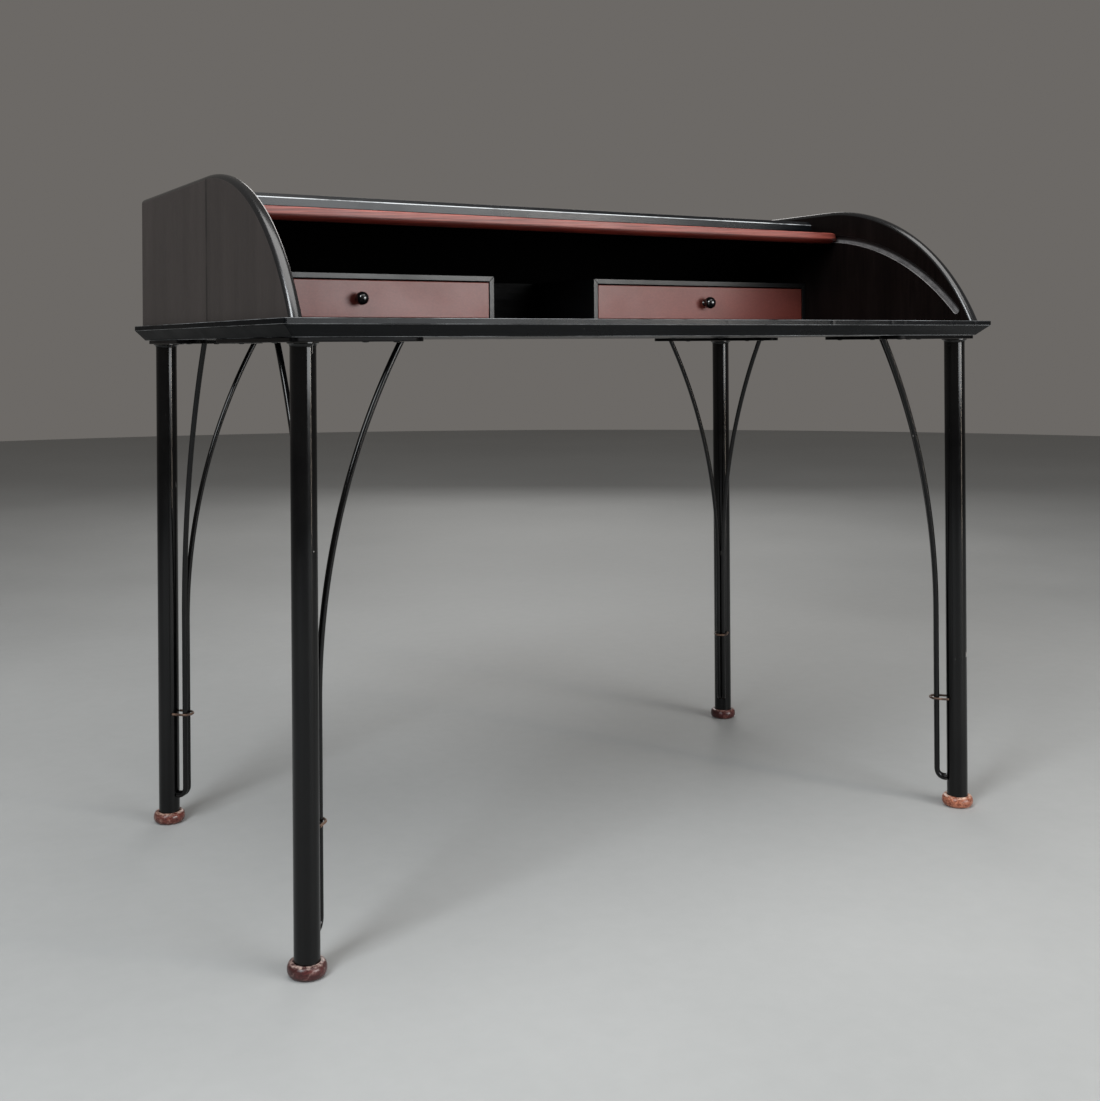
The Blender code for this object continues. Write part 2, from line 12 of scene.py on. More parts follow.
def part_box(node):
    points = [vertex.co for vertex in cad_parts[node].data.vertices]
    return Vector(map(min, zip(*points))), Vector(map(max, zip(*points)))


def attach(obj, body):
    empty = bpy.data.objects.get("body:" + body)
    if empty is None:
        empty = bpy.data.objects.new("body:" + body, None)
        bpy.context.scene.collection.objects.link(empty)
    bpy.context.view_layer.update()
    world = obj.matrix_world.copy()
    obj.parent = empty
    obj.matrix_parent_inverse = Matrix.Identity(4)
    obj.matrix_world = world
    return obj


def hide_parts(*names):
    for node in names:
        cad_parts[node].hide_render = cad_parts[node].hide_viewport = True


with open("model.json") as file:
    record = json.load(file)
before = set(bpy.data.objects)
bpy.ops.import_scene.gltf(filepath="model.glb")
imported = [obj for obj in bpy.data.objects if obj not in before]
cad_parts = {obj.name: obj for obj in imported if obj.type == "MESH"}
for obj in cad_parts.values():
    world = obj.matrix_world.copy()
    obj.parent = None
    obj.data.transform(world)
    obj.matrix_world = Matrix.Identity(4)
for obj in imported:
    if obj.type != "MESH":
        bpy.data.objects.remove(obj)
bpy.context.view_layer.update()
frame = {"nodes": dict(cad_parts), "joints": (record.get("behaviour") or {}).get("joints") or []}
print("frame loaded:", len(frame["nodes"]), "nodes")

sides = (("left", -1), ("right", 1))
ends = (("front", -1), ("back", 1))
origin = (0.0, 0.0)
gap = 0.0003  # between pieces that touch
tiny = 0.0004  # softening of edges that are too small for a bevel
diagonal = math.sqrt(0.5)


# node helpers; a value that is another node's socket is linked, any other is set

def makeGroup(name, inputs, outputs):
    # a vector and some numbers go in, and numbers come out
    group = bpy.data.node_groups.new(name, "ShaderNodeTree")
    group.interface.new_socket("Vector", in_out="INPUT", socket_type="NodeSocketVector")
    for label, value in inputs.items():
        socket = group.interface.new_socket(label, in_out="INPUT", socket_type="NodeSocketFloat")
        socket.default_value = value
    for label in outputs:
        group.interface.new_socket(label, in_out="OUTPUT", socket_type="NodeSocketFloat")
    return group, group.nodes.new("NodeGroupInput").outputs


def sendOut(group, **values):
    outs = group.nodes.new("NodeGroupOutput")
    for label, value in values.items():
        group.links.new(value, outs.inputs[label])


def plug(tree, node, key, value):
    socket = node.inputs[int(key[1:])] if key[0] == "_" else node.inputs[key.replace("_", " ")]
    if isinstance(value, bpy.types.NodeSocket):
        tree.links.new(value, socket)
    else:
        socket.default_value = value


def addNode(tree, kind, settings=None, **values):
    # settings are the node's own options; values go to its inputs by name, or by number after _
    node = tree.nodes.new("ShaderNode" + kind)
    for key, value in (settings or {}).items():
        setattr(node, key, value)
    for key, value in values.items():
        plug(tree, node, key, value)
    return node


def treeOf(*values):
    return next(value.id_data for value in values if isinstance(value, bpy.types.NodeSocket))


def calc(operation, a, b=None):
    node = addNode(treeOf(a, b), "Math", {"operation": operation}, _0=a)
    if b is not None:
        plug(node.id_data, node, "_1", b)
    return node.outputs[0]


def times(a, b):
    return calc("MULTIPLY", a, b)


def scaled(vector, factors):
    node = addNode(treeOf(vector), "VectorMath", {"operation": "MULTIPLY"}, _0=vector, _1=factors)
    return node.outputs[0]


def remap(value, fromLow, fromHigh, toLow=0.0, toHigh=1.0, smooth=False):
    node = addNode(
        treeOf(value), "MapRange", {"interpolation_type": "SMOOTHSTEP" if smooth else "LINEAR"},
        Value=value, From_Min=fromLow, From_Max=fromHigh, To_Min=toLow, To_Max=toHigh)
    return node.outputs["Result"]


def blendColours(share, a, b, mode="MIX"):
    a, b = ((*colour, 1) if isinstance(colour, tuple) else colour for colour in (a, b))
    options = {"data_type": "RGBA", "blend_type": mode}
    return addNode(treeOf(share, a, b), "Mix", options, _0=share, _6=a, _7=b).outputs[2]


def noise(vector, scale, detail=3.0, roughness=0.55, distortion=0.0):
    node = addNode(
        treeOf(vector), "TexNoise", Vector=vector, Scale=scale, Detail=detail, Roughness=roughness,
        Distortion=distortion)
    return node.outputs[0]


def useGroup(name, **values):
    group = bpy.data.node_groups[name]
    return addNode(treeOf(*values.values()), "Group", {"node_tree": group}, **values).outputs


# shared effects

def makeWoodGrain():
    # streaks that run along X of the vector, with fine open pores and broad figure
    group, ins = makeGroup(
        "woodGrain", {"Streaks": 420.0, "Stretch": 0.03, "Wander": 0.6}, ("Figure", "Streak", "Pores"))
    along = addNode(group, "CombineXYZ", X=ins["Stretch"], Y=1.0, Z=1.0)
    squeezed = scaled(ins["Vector"], along.outputs[0])
    fine = times(ins["Streaks"], 2.6)
    sendOut(
        group, Figure=noise(squeezed, 26.0, 2.0, 0.5, ins["Wander"]),
        Streak=noise(squeezed, ins["Streaks"], 4.0, 0.65, ins["Wander"]),
        Pores=remap(noise(squeezed, fine, 2.0, 0.6), 0.6, 0.72))


def makeHandling():
    # broad smudges and a soft film of dust, for roughness
    group, ins = makeGroup("handling", {"Size": 9.0, "Low": 0.25, "High": 0.4}, ("Roughness", "Smudge"))
    broad = noise(ins["Vector"], ins["Size"], 5.0, 0.62, 0.4)
    smudge = remap(broad, 0.34, 0.66, smooth=True)
    sendOut(group, Roughness=remap(smudge, 0.0, 1.0, ins["Low"], ins["High"]), Smudge=smudge)


def makeSpecks():
    # sparse round specks: dust, and pin-head chips in paint
    group, ins = makeGroup("specks", {"Count": 120.0, "Radius": 0.12, "Share": 0.06}, ("Specks",))
    cells = addNode(group, "TexVoronoi", Vector=ins["Vector"], Scale=ins["Count"]).outputs
    pick = addNode(group, "SeparateColor", Color=cells["Color"]).outputs
    chosen = calc("LESS_THAN", pick[0], ins["Share"])
    near = calc("LESS_THAN", cells["Distance"], times(pick[1], ins["Radius"]))
    sendOut(group, Specks=times(chosen, near))


def makeScratches():
    # short thin scratches, most of them along X of the vector
    group, ins = makeGroup("scratches", {"Scale": 60.0, "Amount": 0.1}, ("Scratches",))
    fine = times(ins["Scale"], 9.0)
    lines = noise(scaled(ins["Vector"], (0.05, 1.0, 1.0)), fine, 1.0, 0.4, 0.8)
    where = noise(ins["Vector"], ins["Scale"], 2.0, 0.5)
    limit = calc("SUBTRACT", 0.72, times(ins["Amount"], 0.5))
    patch = calc("GREATER_THAN", where, limit)
    sendOut(group, Scratches=times(remap(lines, 0.7, 0.74), patch))


def makeEdgeWear():
    # rubbed edges: where the surface turns within the radius, broken up by noise
    group, ins = makeGroup("edgeWear", {"Radius": 0.0008, "Breakup": 60.0, "Amount": 0.3}, ("Wear",))
    surface = addNode(group, "NewGeometry").outputs["Normal"]
    softened = addNode(group, "Bevel", {"samples": 4}, Radius=ins["Radius"]).outputs[0]
    facing = addNode(group, "VectorMath", {"operation": "DOT_PRODUCT"}, _0=surface, _1=softened)
    edge = remap(facing.outputs["Value"], 0.995, 0.93)
    broken = noise(ins["Vector"], ins["Breakup"], 5.0, 0.7)
    limit = calc("SUBTRACT", 0.78, times(ins["Amount"], 0.4))
    sendOut(group, Wear=times(edge, calc("GREATER_THAN", broken, limit)))


def makeWeave():
    # plain weave of threads in two level directions of the vector
    group, ins = makeGroup("weave", {"Pitch": 0.0011}, ("Height", "Thread"))
    cell = calc("DIVIDE", math.pi, ins["Pitch"])
    axes = addNode(group, "SeparateXYZ", Vector=ins["Vector"]).outputs
    warp, weft = (calc("SINE", times(axes[axis], cell)) for axis in "XY")
    over = times(warp, weft)
    raised = times(calc("ABSOLUTE", over), 0.6)
    sendOut(group, Height=calc("ADD", raised, 0.2), Thread=remap(over, -0.2, 0.2))


for makeEffect in (makeWoodGrain, makeHandling, makeSpecks, makeScratches, makeEdgeWear, makeWeave):
    makeEffect()
print("shared effects ready")


# materials

def newMaterial(name, **fixed):
    material = bpy.data.materials.new(name)
    material.use_nodes = True
    tree = material.node_tree
    shader = tree.nodes["Principled BSDF"]
    for key, value in fixed.items():
        plug(tree, shader, key, value)
    return material, tree, shader, addNode(tree, "TexCoord").outputs["Object"]


def finishShader(tree, shader, colour, roughness, height, distance):
    plug(tree, shader, "Base_Color", colour)
    plug(tree, shader, "Roughness", roughness)
    bump = addNode(tree, "Bump", Height=height, Distance=distance, Strength=1.0)
    plug(tree, shader, "Normal", bump.outputs[0])


def openColour(material):
    # for a second layer of colour: the node tree, its texture coordinates and the colour so far
    tree = material.node_tree
    colour = tree.nodes["Principled BSDF"].inputs["Base Color"].links[0].from_socket
    return tree, addNode(tree, "TexCoord").outputs, colour


def recolour(tree, colour):
    plug(tree, tree.nodes["Principled BSDF"], "Base_Color", colour)


def turned(place, axis, slant=0.0):
    # turns the vector so that the grain, which runs along X, runs along the named axis
    turns = {"x": (0, slant, 0), "y": (0, 0, math.pi / 2), "z": (0, math.pi / 2, 0)}
    return addNode(treeOf(place), "Mapping", Vector=place, Rotation=turns[axis]).outputs[0]


def handled(place, look):
    low, high = look["rough"]
    return useGroup("handling", Vector=place, Size=look["smudgeSize"], Low=low, High=high)


def stainedWood(name, look, axis):
    # wood under stain and lacquer: grain, pores, handling, chips and rubbed edges
    material, tree, shader, place = newMaterial(name, Specular_IOR_Level=look["specular"])
    grain = useGroup(
        "woodGrain", Vector=turned(place, axis, look["slant"]), Streaks=look["streaks"],
        Stretch=look["stretch"], Wander=look["wander"])
    colour = blendColours(remap(grain["Streak"], 0.35, 0.68), look["dark"], look["light"])
    figure = remap(grain["Figure"], 0.3, 0.7, 1 - look["figure"], 1.0)
    tint = addNode(tree, "CombineColor", Red=figure, Green=figure, Blue=figure)
    colour = blendColours(1.0, colour, tint.outputs[0], "MULTIPLY")
    chips = useGroup("specks", Vector=place, Count=look["chipCount"], Share=look["chipShare"])[0]
    wear = useGroup("edgeWear", Vector=place, Amount=look["wear"])[0]
    marks = times(calc("MAXIMUM", chips, wear), look["wearStrength"])
    colour = blendColours(marks, colour, look["worn"])
    height = calc("SUBTRACT", grain["Streak"], times(grain["Pores"], 0.6))
    finishShader(tree, shader, colour, handled(place, look)["Roughness"], height, look["relief"])
    return material


def makeSteel(name, look):
    # painted tube: orange-peel paint, chips that show bright metal, a few scratches along the tube
    material, tree, shader, place = newMaterial(name, Specular_IOR_Level=look["specular"])
    film = handled(place, look)
    chips = useGroup(
        "specks", Vector=place, Count=look["chipCount"], Radius=look["chipRadius"],
        Share=look["chipShare"])[0]
    lines = useGroup(
        "scratches", Vector=turned(place, "z"), Scale=look["scratchScale"],
        Amount=look["scratches"])[0]
    marks = calc("MAXIMUM", chips, lines)
    dusty = times(film["Smudge"], look["dust"])
    colour = blendColours(dusty, look["paint"], look["dustColour"])
    colour = blendColours(marks, colour, look["bare"])
    plug(tree, shader, "Metallic", times(marks, 0.5))
    peel = noise(place, look["peelScale"], 2.0, 0.5)
    finishShader(tree, shader, colour, film["Roughness"], peel, look["peel"])
    return material


def makeRubbedEdgeAndHighlight(name, look):
    # lacquer worn thin along an arris, in long broken stretches, and painted lighter as a highlight line
    material, tree, shader, place = newMaterial(name, Specular_IOR_Level=0.45)
    drawn = scaled(place, (0.22, 0.22, 1.0))
    worn = remap(noise(drawn, look["size"], 6.0, 0.72), look["low"], look["high"])
    colour = blendColours(worn, look["paint"], look["rubbed"])
    finishShader(tree, shader, colour, remap(worn, 0.0, 1.0, 0.22, 0.36), worn, 0.00004)
    return material


lacquerLook = dict(
    dark=(0.0014, 0.0018, 0.0024), light=(0.0036, 0.0043, 0.0053), worn=(0.13, 0.12, 0.11),
    figure=0.25, streaks=520.0, stretch=0.025, wander=0.3, slant=0.0, relief=0.00002,
    specular=0.22, rough=(0.22, 0.3), smudgeSize=7.0, chipCount=150.0, chipShare=0.008,
    wear=0.22, wearStrength=0.7,
)
topLook = dict(lacquerLook, specular=0.12)
topSideLook = dict(lacquerLook, specular=0.03, rough=(0.3, 0.4))
coverLook = dict(
    lacquerLook, dark=(0.004, 0.0048, 0.0058), light=(0.009, 0.0102, 0.012), specular=0.24,
)
veneerLook = dict(
    lacquerLook, dark=(0.0345, 0.0288, 0.0272), light=(0.0435, 0.0362, 0.0342), figure=0.22,
    streaks=380.0, stretch=0.05, rough=(0.38, 0.46), chipShare=0.005,
    worn=(0.16, 0.13, 0.11), wear=0.12, relief=0.00004, specular=0.42,
)
panelInnerLook = dict(
    lacquerLook, dark=(0.003, 0.002, 0.0018), light=(0.007, 0.0046, 0.0042), figure=0.4,
    streaks=300.0, stretch=0.05, rough=(0.36, 0.44), specular=0.1, wear=0.0,
)
noseLook = dict(
    lacquerLook, dark=(0.003, 0.0034, 0.004), light=(0.0065, 0.0072, 0.0082), specular=0.8,
    rough=(0.17, 0.24), wear=0.0, relief=0.00001, chipShare=0.004,
)
backLook = dict(
    lacquerLook, dark=(0.0011, 0.0012, 0.0013), light=(0.0078, 0.008, 0.008), figure=0.5,
    streaks=240.0, stretch=0.1, rough=(0.5, 0.62), relief=0.0002, specular=0.04,
    wear=0.0, chipShare=0.0,
)
rearLook = dict(
    veneerLook, dark=(0.011, 0.0095, 0.009), light=(0.023, 0.02, 0.019), figure=0.4,
    streaks=260.0, stretch=0.035, rough=(0.44, 0.56), relief=0.00008,
)
caseLook = dict(
    lacquerLook, dark=(0.002, 0.0021, 0.0023), light=(0.0048, 0.0048, 0.005),
    rough=(0.34, 0.42), chipShare=0.004, wear=0.1, specular=0.4,
)
railLook = dict(
    lacquerLook, dark=(0.135, 0.018, 0.012), light=(0.5, 0.122, 0.088), figure=0.22,
    streaks=420.0, stretch=0.016, wander=0.5, slant=0.045, relief=0.0001,
    rough=(0.38, 0.46), worn=(0.55, 0.22, 0.16), wear=0.1, chipShare=0.003, specular=0.6,
)
drawerLook = dict(
    lacquerLook, dark=(0.135, 0.0235, 0.016), light=(0.172, 0.0345, 0.024), figure=0.1,
    streaks=420.0, stretch=0.55, wander=0.4, relief=0.00003, rough=(0.42, 0.48),
    worn=(0.35, 0.18, 0.15), wear=0.08, chipShare=0.003, specular=0.6,
)
boxLook = dict(
    lacquerLook, dark=(0.3, 0.2, 0.115), light=(0.48, 0.355, 0.225), figure=0.2,
    streaks=330.0, stretch=0.03, relief=0.00008, rough=(0.48, 0.6), worn=(0.5, 0.4, 0.28),
    wear=0.0, chipShare=0.0,
)
slatLook = dict(
    lacquerLook, dark=(0.0018, 0.0018, 0.002), light=(0.005, 0.0048, 0.0048),
    rough=(0.34, 0.44), relief=0.00008, chipShare=0.004, wear=0.12,
)
footLook = dict(
    lacquerLook, figure=0.45, streaks=240.0, stretch=0.12, wander=0.9, relief=0.00015,
    rough=(0.2, 0.34), wear=0.36, wearStrength=0.8, chipCount=520.0, chipShare=0.08,
    specular=0.38,
)
steelLook = dict(
    paint=(0.0013, 0.0013, 0.0015), dustColour=(0.012, 0.011, 0.01), dust=0.1,
    bare=(0.42, 0.4, 0.38), specular=0.3, rough=(0.09, 0.16), smudgeSize=11.0,
    chipCount=170.0, chipRadius=0.15, chipShare=0.012, scratchScale=22.0, scratches=0.1,
    peelScale=900.0, peel=0.000006,
)
plateLook = dict(steelLook, specular=0.05, rough=(0.3, 0.4), dust=0.05, scratches=0.05)
ringLook = dict(
    steelLook, paint=(0.018, 0.009, 0.007), dustColour=(0.26, 0.16, 0.11), dust=0.55,
    smudgeSize=90.0, rough=(0.3, 0.46), chipShare=0.02,
)
screwLook = dict(steelLook, paint=(0.016, 0.015, 0.015), rough=(0.3, 0.42), dust=0.3)
# lighter rubbed colour for arris strips: wear plus painted highlight lines
rubbedHighlightLook = dict(
    paint=(0.006, 0.0066, 0.0074), rubbed=(0.24, 0.25, 0.26), size=38.0, low=0.4, high=0.62,
)
# near-white rubbed colour: wear plus a painted highlight line on the cover's sloped arris
coverRubbedHighlightLook = dict(rubbedHighlightLook, rubbed=(0.62, 0.65, 0.67), low=0.3, high=0.52)


# mesh helpers

def loftMesh(sections):
    # closed sections with one number of points, joined in turn and capped at both ends
    bm = bmesh.new()
    rings = [[bm.verts.new(point) for point in section] for section in sections]
    for ring, nextRing in zip(rings, rings[1:]):
        for i, vert in enumerate(ring):
            j = (i + 1) % len(ring)
            bm.faces.new((vert, ring[j], nextRing[j], nextRing[i]))
    bm.faces.new(rings[0][::-1])
    bm.faces.new(rings[-1])
    bmesh.ops.recalc_face_normals(bm, faces=bm.faces)
    return bm


def turnedMesh(profile, steps, closed=False):
    # spins a profile of (radius, height) points about Z
    bm = bmesh.new()
    verts = [bm.verts.new((radius, 0.0, height)) for radius, height in profile]
    edges = [bm.edges.new(pair) for pair in zip(verts, verts[1:])]
    if closed:
        edges.append(bm.edges.new((verts[-1], verts[0])))
    bmesh.ops.spin(
        bm, geom=verts + edges, axis=(0, 0, 1), cent=(0, 0, 0),
        angle=2 * math.pi, steps=steps, use_merge=True, use_duplicate=False)
    bmesh.ops.remove_doubles(bm, verts=bm.verts, dist=1e-6)
    return bm


def boardMesh(low, high, arris, segments=3):
    bm = bmesh.new()
    bmesh.ops.create_cube(bm, size=1.0)
    size = Vector(high) - Vector(low)
    middle = (Vector(high) + Vector(low)) / 2
    bmesh.ops.transform(bm, matrix=Matrix.Translation(middle) @ Matrix.Diagonal((*size, 1.0)), verts=bm.verts)
    bmesh.ops.bevel(bm, geom=list(bm.edges), offset=arris, segments=segments, affect="EDGES", profile=0.5)
    return bm


def arcPoints(centre, radius, startDeg, endDeg, steps):
    # points on a circle, with angles counted anticlockwise from the first axis
    points = []
    for i in range(steps + 1):
        angle = math.radians(startDeg + (endDeg - startDeg) * i / steps)
        points.append((centre[0] + radius * math.cos(angle), centre[1] + radius * math.sin(angle)))
    return points


def insetPolygon(points, inset):
    # moves every edge of a convex outline inwards
    corners = [Vector(point) for point in points]
    area = sum(a.x * b.y - b.x * a.y for a, b in zip(corners, corners[1:] + corners[:1]))
    turn = 1 if area > 0 else -1
    moved = []
    for i, corner in enumerate(corners):
        before = (corner - corners[i - 1]).normalized()
        after = (corners[(i + 1) % len(corners)] - corner).normalized()
        normalBefore = Vector((-before.y, before.x)) * turn
        normalAfter = Vector((-after.y, after.x)) * turn
        half = (normalBefore + normalAfter).normalized()
        moved.append(corner + half * (inset / half.dot(normalBefore)))
    return moved


def tubeRings(path, radius, steps):
    # circles of points along a path, carried along it without twisting
    tangents = []
    for i in range(len(path)):
        ahead = path[min(i + 1, len(path) - 1)]
        behind = path[max(i - 1, 0)]
        tangents.append((ahead - behind).normalized())
    across = tangents[0].orthogonal().normalized()
    rings = []
    for i, point in enumerate(path):
        if i > 0:
            across.rotate(tangents[i - 1].rotation_difference(tangents[i]))
        turns = [Matrix.Rotation(2 * math.pi * k / steps, 3, tangents[i]) for k in range(steps)]
        rings.append([point + turn @ across * radius for turn in turns])
    return rings


def asMesh(name, bm):
    mesh = bpy.data.meshes.new(name)
    bm.to_mesh(mesh)
    bm.free()
    return mesh


def inScene(name, data):
    placed = bpy.data.objects.new(name, data)
    bpy.context.scene.collection.objects.link(placed)
    return placed


def addPiece(name, bm, material, body, slotName, *replaced, smoothDeg=35):
    bmesh.ops.recalc_face_normals(bm, faces=bm.faces)
    return addMesh(name, asMesh(name, bm), material, body, slotName, *replaced, smoothDeg=smoothDeg)


def addMesh(name, mesh, material, body, slotName, *replaced, smoothDeg=35):
    mesh.shade_smooth()
    mesh.set_sharp_from_angle(angle=math.radians(smoothDeg))
    mesh.materials.clear()
    mesh.materials.append(material)
    piece = inScene(name, mesh)
    shading = piece.modifiers.new("flatFaces", "WEIGHTED_NORMAL")  # broad faces stay flat beside arrises
    shading.keep_sharp = True
    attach(piece, body)
    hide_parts(*replaced)
    return piece


def cutAway(bm, cutterMesh):
    # one boolean cut, applied, without leaving the helper objects behind
    helpers = []
    for label, shape in (("solid", bm), ("cutter", cutterMesh)):
        bmesh.ops.recalc_face_normals(shape, faces=shape.faces)
        helpers.append(inScene(label, asMesh(label, shape)))
    solid, cutter = helpers
    cut = solid.modifiers.new("cut", "BOOLEAN")
    cut.operation = "DIFFERENCE"
    cut.object = cutter
    bpy.context.view_layer.update()
    result = bpy.data.meshes.new_from_object(solid.evaluated_get(bpy.context.evaluated_depsgraph_get()))
    for helper in helpers:
        bpy.data.objects.remove(helper, do_unlink=True)
    return result


# stand: feet, legs, plates, screws, braces and tie rings

legValues = dict(radius=0.0153, wall=0.002, collarHeight=0.0055, fillet=0.0012, steps=72)
footValues = dict(baseRadius=0.0185, bulge=0.0045, socketDepth=0.004, steps=72)
braceValues = dict(
    radius=0.0039, pitch=0.0082, standOff=0.0296, bend=0.012, straightTop=0.3,
    reach=0.132, steps=20,
)
ringValues = dict(wireRadius=0.0017, halfWidth=0.0112, reach=0.0393, height=0.165, steps=16)
plateValues = dict(halfWidth=0.022, arm=0.151, frontSideArm=0.27, arris=0.0007)
screwValues = dict(
    radius=0.004, rise=0.0011, shortArm=(0.078, 0.118), longArm=(0.092, 0.17, 0.245),
)
footStains = {  # dark, light and worn colours
    "front_left": ((0.034, 0.009, 0.009), (0.11, 0.028, 0.026), (0.46, 0.34, 0.3)),
    "back_left": ((0.06, 0.015, 0.011), (0.19, 0.055, 0.042), (0.5, 0.34, 0.27)),
    "back_right": ((0.036, 0.007, 0.007), (0.1, 0.022, 0.02), (0.36, 0.2, 0.17)),
    "front_right": ((0.15, 0.03, 0.014), (0.64, 0.24, 0.14), (0.8, 0.6, 0.48)),
}
blotchValues = dict(scale=130.0, start=0.54, end=0.68, share=0.6, worn=0.45)
rimValues = dict(scale=210.0, start=0.42, end=0.6, share=0.85, inner=0.0022, outer=0.0006)


def makeFootStain(corner):
    # stained ring whose colour is blotched, and rubbed pale round the socket at its top
    dark, light, worn = footStains[corner]
    look = {**footLook, "dark": dark, "light": light, "worn": worn}
    material = stainedWood(f"{corner}FootStain", look, "x")
    tree, coordinates, colour = openColour(material)
    place = coordinates["Object"]
    patches = noise(place, blotchValues["scale"], 5.0, 0.7, 0.8)
    blotch = remap(patches, blotchValues["start"], blotchValues["end"])
    mix = blotchValues["worn"]
    pale = tuple(mix * a + (1 - mix) * b for a, b in zip(worn, light))
    colour = blendColours(times(blotch, blotchValues["share"]), colour, pale)
    height = addNode(tree, "SeparateXYZ", Vector=place).outputs["Z"]
    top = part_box(f"{corner}_foot")[1].z
    rim = remap(height, top - rimValues["inner"], top - rimValues["outer"])
    broken = remap(noise(place, rimValues["scale"], 4.0, 0.7), rimValues["start"], rimValues["end"])
    rubbed = times(times(rim, broken), rimValues["share"])
    recolour(tree, blendColours(rubbed, colour, worn))
    return material


def makeFoot(corner, material):
    low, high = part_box(f"{corner}_foot")
    middle = (low + high) / 2
    height = high.z - low.z
    base = footValues["baseRadius"]
    socket = legValues["radius"] + gap
    floorZ = height - footValues["socketDepth"]
    profile = [(0.0, 0.0), (base - 0.0006, 0.0), (base, 0.0003)]
    for x, z in arcPoints(origin, 1.0, -76, 76, 22):
        profile.append((base + footValues["bulge"] * x, height * 0.52 + 0.455 * height * z))
    profile += [(base - tiny, height - 0.0003), (base - 0.0009, height), (socket + tiny, height)]
    profile += [(socket, height - tiny), (socket, floorZ), (0.0, floorZ)]
    bm = turnedMesh(profile, footValues["steps"])
    bmesh.ops.translate(bm, verts=bm.verts, vec=(middle.x, middle.y, low.z))
    addPiece(f"{corner}_turned_foot", bm, material, "desk", "foot_wood", f"{corner}_foot")


def makeLeg(corner, material):
    low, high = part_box(f"{corner}_leg")
    middle = (low + high) / 2
    collar = (high.x - low.x) / 2
    radius, fillet, collarHeight = legValues["radius"], legValues["fillet"], legValues["collarHeight"]
    bore = radius - legValues["wall"]
    collarLow = high.z - collarHeight
    profile = [(bore, low.z), (radius - tiny, low.z), (radius, low.z + tiny), (radius, collarLow - fillet)]
    for x, z in arcPoints(origin, 1.0, 0, 90, 8):  # hollow flare of the weld collar
        profile.append((radius + (collar - radius) * (1 - x), collarLow + (collarHeight - fillet) * z))
    profile += [(collar, high.z - 2 * tiny), (collar, high.z), (bore, high.z)]
    bm = turnedMesh(profile, legValues["steps"], closed=True)
    bmesh.ops.translate(bm, verts=bm.verts, vec=(middle.x, middle.y, 0.0))
    addPiece(f"{corner}_leg_tube", bm, material, "desk", "black_steel", f"{corner}_leg")


def cornerPlacer(corner, sideSign, endSign):
    # from a leg's own frame, which points to the desk's middle, to the desk's frame
    low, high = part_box(f"{corner}_leg")
    axis = Vector(((low.x + high.x) / 2, (low.y + high.y) / 2, 0.0))
    return lambda point: axis + Vector((-sideSign * point[0], -endSign * point[1], point[2]))


def makePlate(corner, place, inFront, material):
    low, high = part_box(f"{corner}_top_plate")
    half, arm = plateValues["halfWidth"], plateValues["arm"]
    sideArm = plateValues["frontSideArm"] if inFront else arm
    inner = half * 0.4
    outline = arcPoints((inner - half, inner - half), inner, 180, 270, 8)
    outline += arcPoints((arm - half, 0.0), half, -90, 90, 28)
    outline.append((half, half))
    outline += arcPoints((0.0, sideArm - half), half, 0, 180, 28)
    bm = loftMesh([[place((x, y, z)) for x, y in outline] for z in (low.z, high.z)])
    rims = [edge for edge in bm.edges if abs(edge.verts[0].co.z - edge.verts[1].co.z) < gap]
    bmesh.ops.bevel(bm, geom=rims, offset=plateValues["arris"], segments=3, affect="EDGES", profile=0.5)
    addPiece(f"{corner}_mounting_plate", bm, material, "desk", "black_steel", f"{corner}_top_plate")


def makeScrewHead():
    # pan head, upside down under the plate, with a cross recess
    radius, rise = screwValues["radius"], screwValues["rise"]
    profile = [(0.0, 0.0), (radius, 0.0), (radius, -tiny)]
    for x, z in arcPoints(origin, 1.0, 0, 90, 10)[1:]:
        profile.append((radius * (0.18 + 0.82 * x) if x > 0.01 else 0.0, -tiny - (rise - tiny) * z))
    arm, half, depth = radius * 0.55, radius * 0.1, rise * 0.55
    cross = [(arm, half), (half, half), (half, arm), (-half, arm), (-half, half), (-arm, half)]
    cross += [(-x, -y) for x, y in cross]
    recess = loftMesh([[(x, y, z) for x, y in cross] for z in (-rise + depth, -rise - 0.001)])
    return cutAway(turnedMesh(profile, 40), recess)


def makePlateScrews(corner, place, inFront, firstTurn, head, material):
    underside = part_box(f"{corner}_top_plate")[0].z
    spots = [(reach, 0.0) for reach in screwValues["shortArm"]]
    spots += [(0.0, reach) for reach in screwValues["longArm" if inFront else "shortArm"]]
    bm = bmesh.new()
    for i, (x, y) in enumerate(spots):
        done = len(bm.verts)
        bm.from_mesh(head)
        bm.verts.ensure_lookup_table()
        turn = Matrix.Translation(place((x, y, underside))) @ Matrix.Rotation(0.7 * i + firstTurn, 4, "Z")
        bmesh.ops.transform(bm, matrix=turn, verts=bm.verts[done:])
    addPiece(f"{corner}_plate_screws", bm, material, "desk", "black_steel")


def endOnLeg(ring, direction):
    # slides a tube's end ring along a level direction until it meets the leg at the origin
    across = Vector((-direction.y, direction.x, 0.0))
    offsets = [point.dot(across) for point in ring]
    nearest = min(abs(offset) for offset in offsets)
    along = math.sqrt((legValues["radius"] + gap) ** 2 - nearest ** 2)
    return [across * offset + direction * along + Vector((0.0, 0.0, p.z)) for offset, p in zip(offsets, ring)]


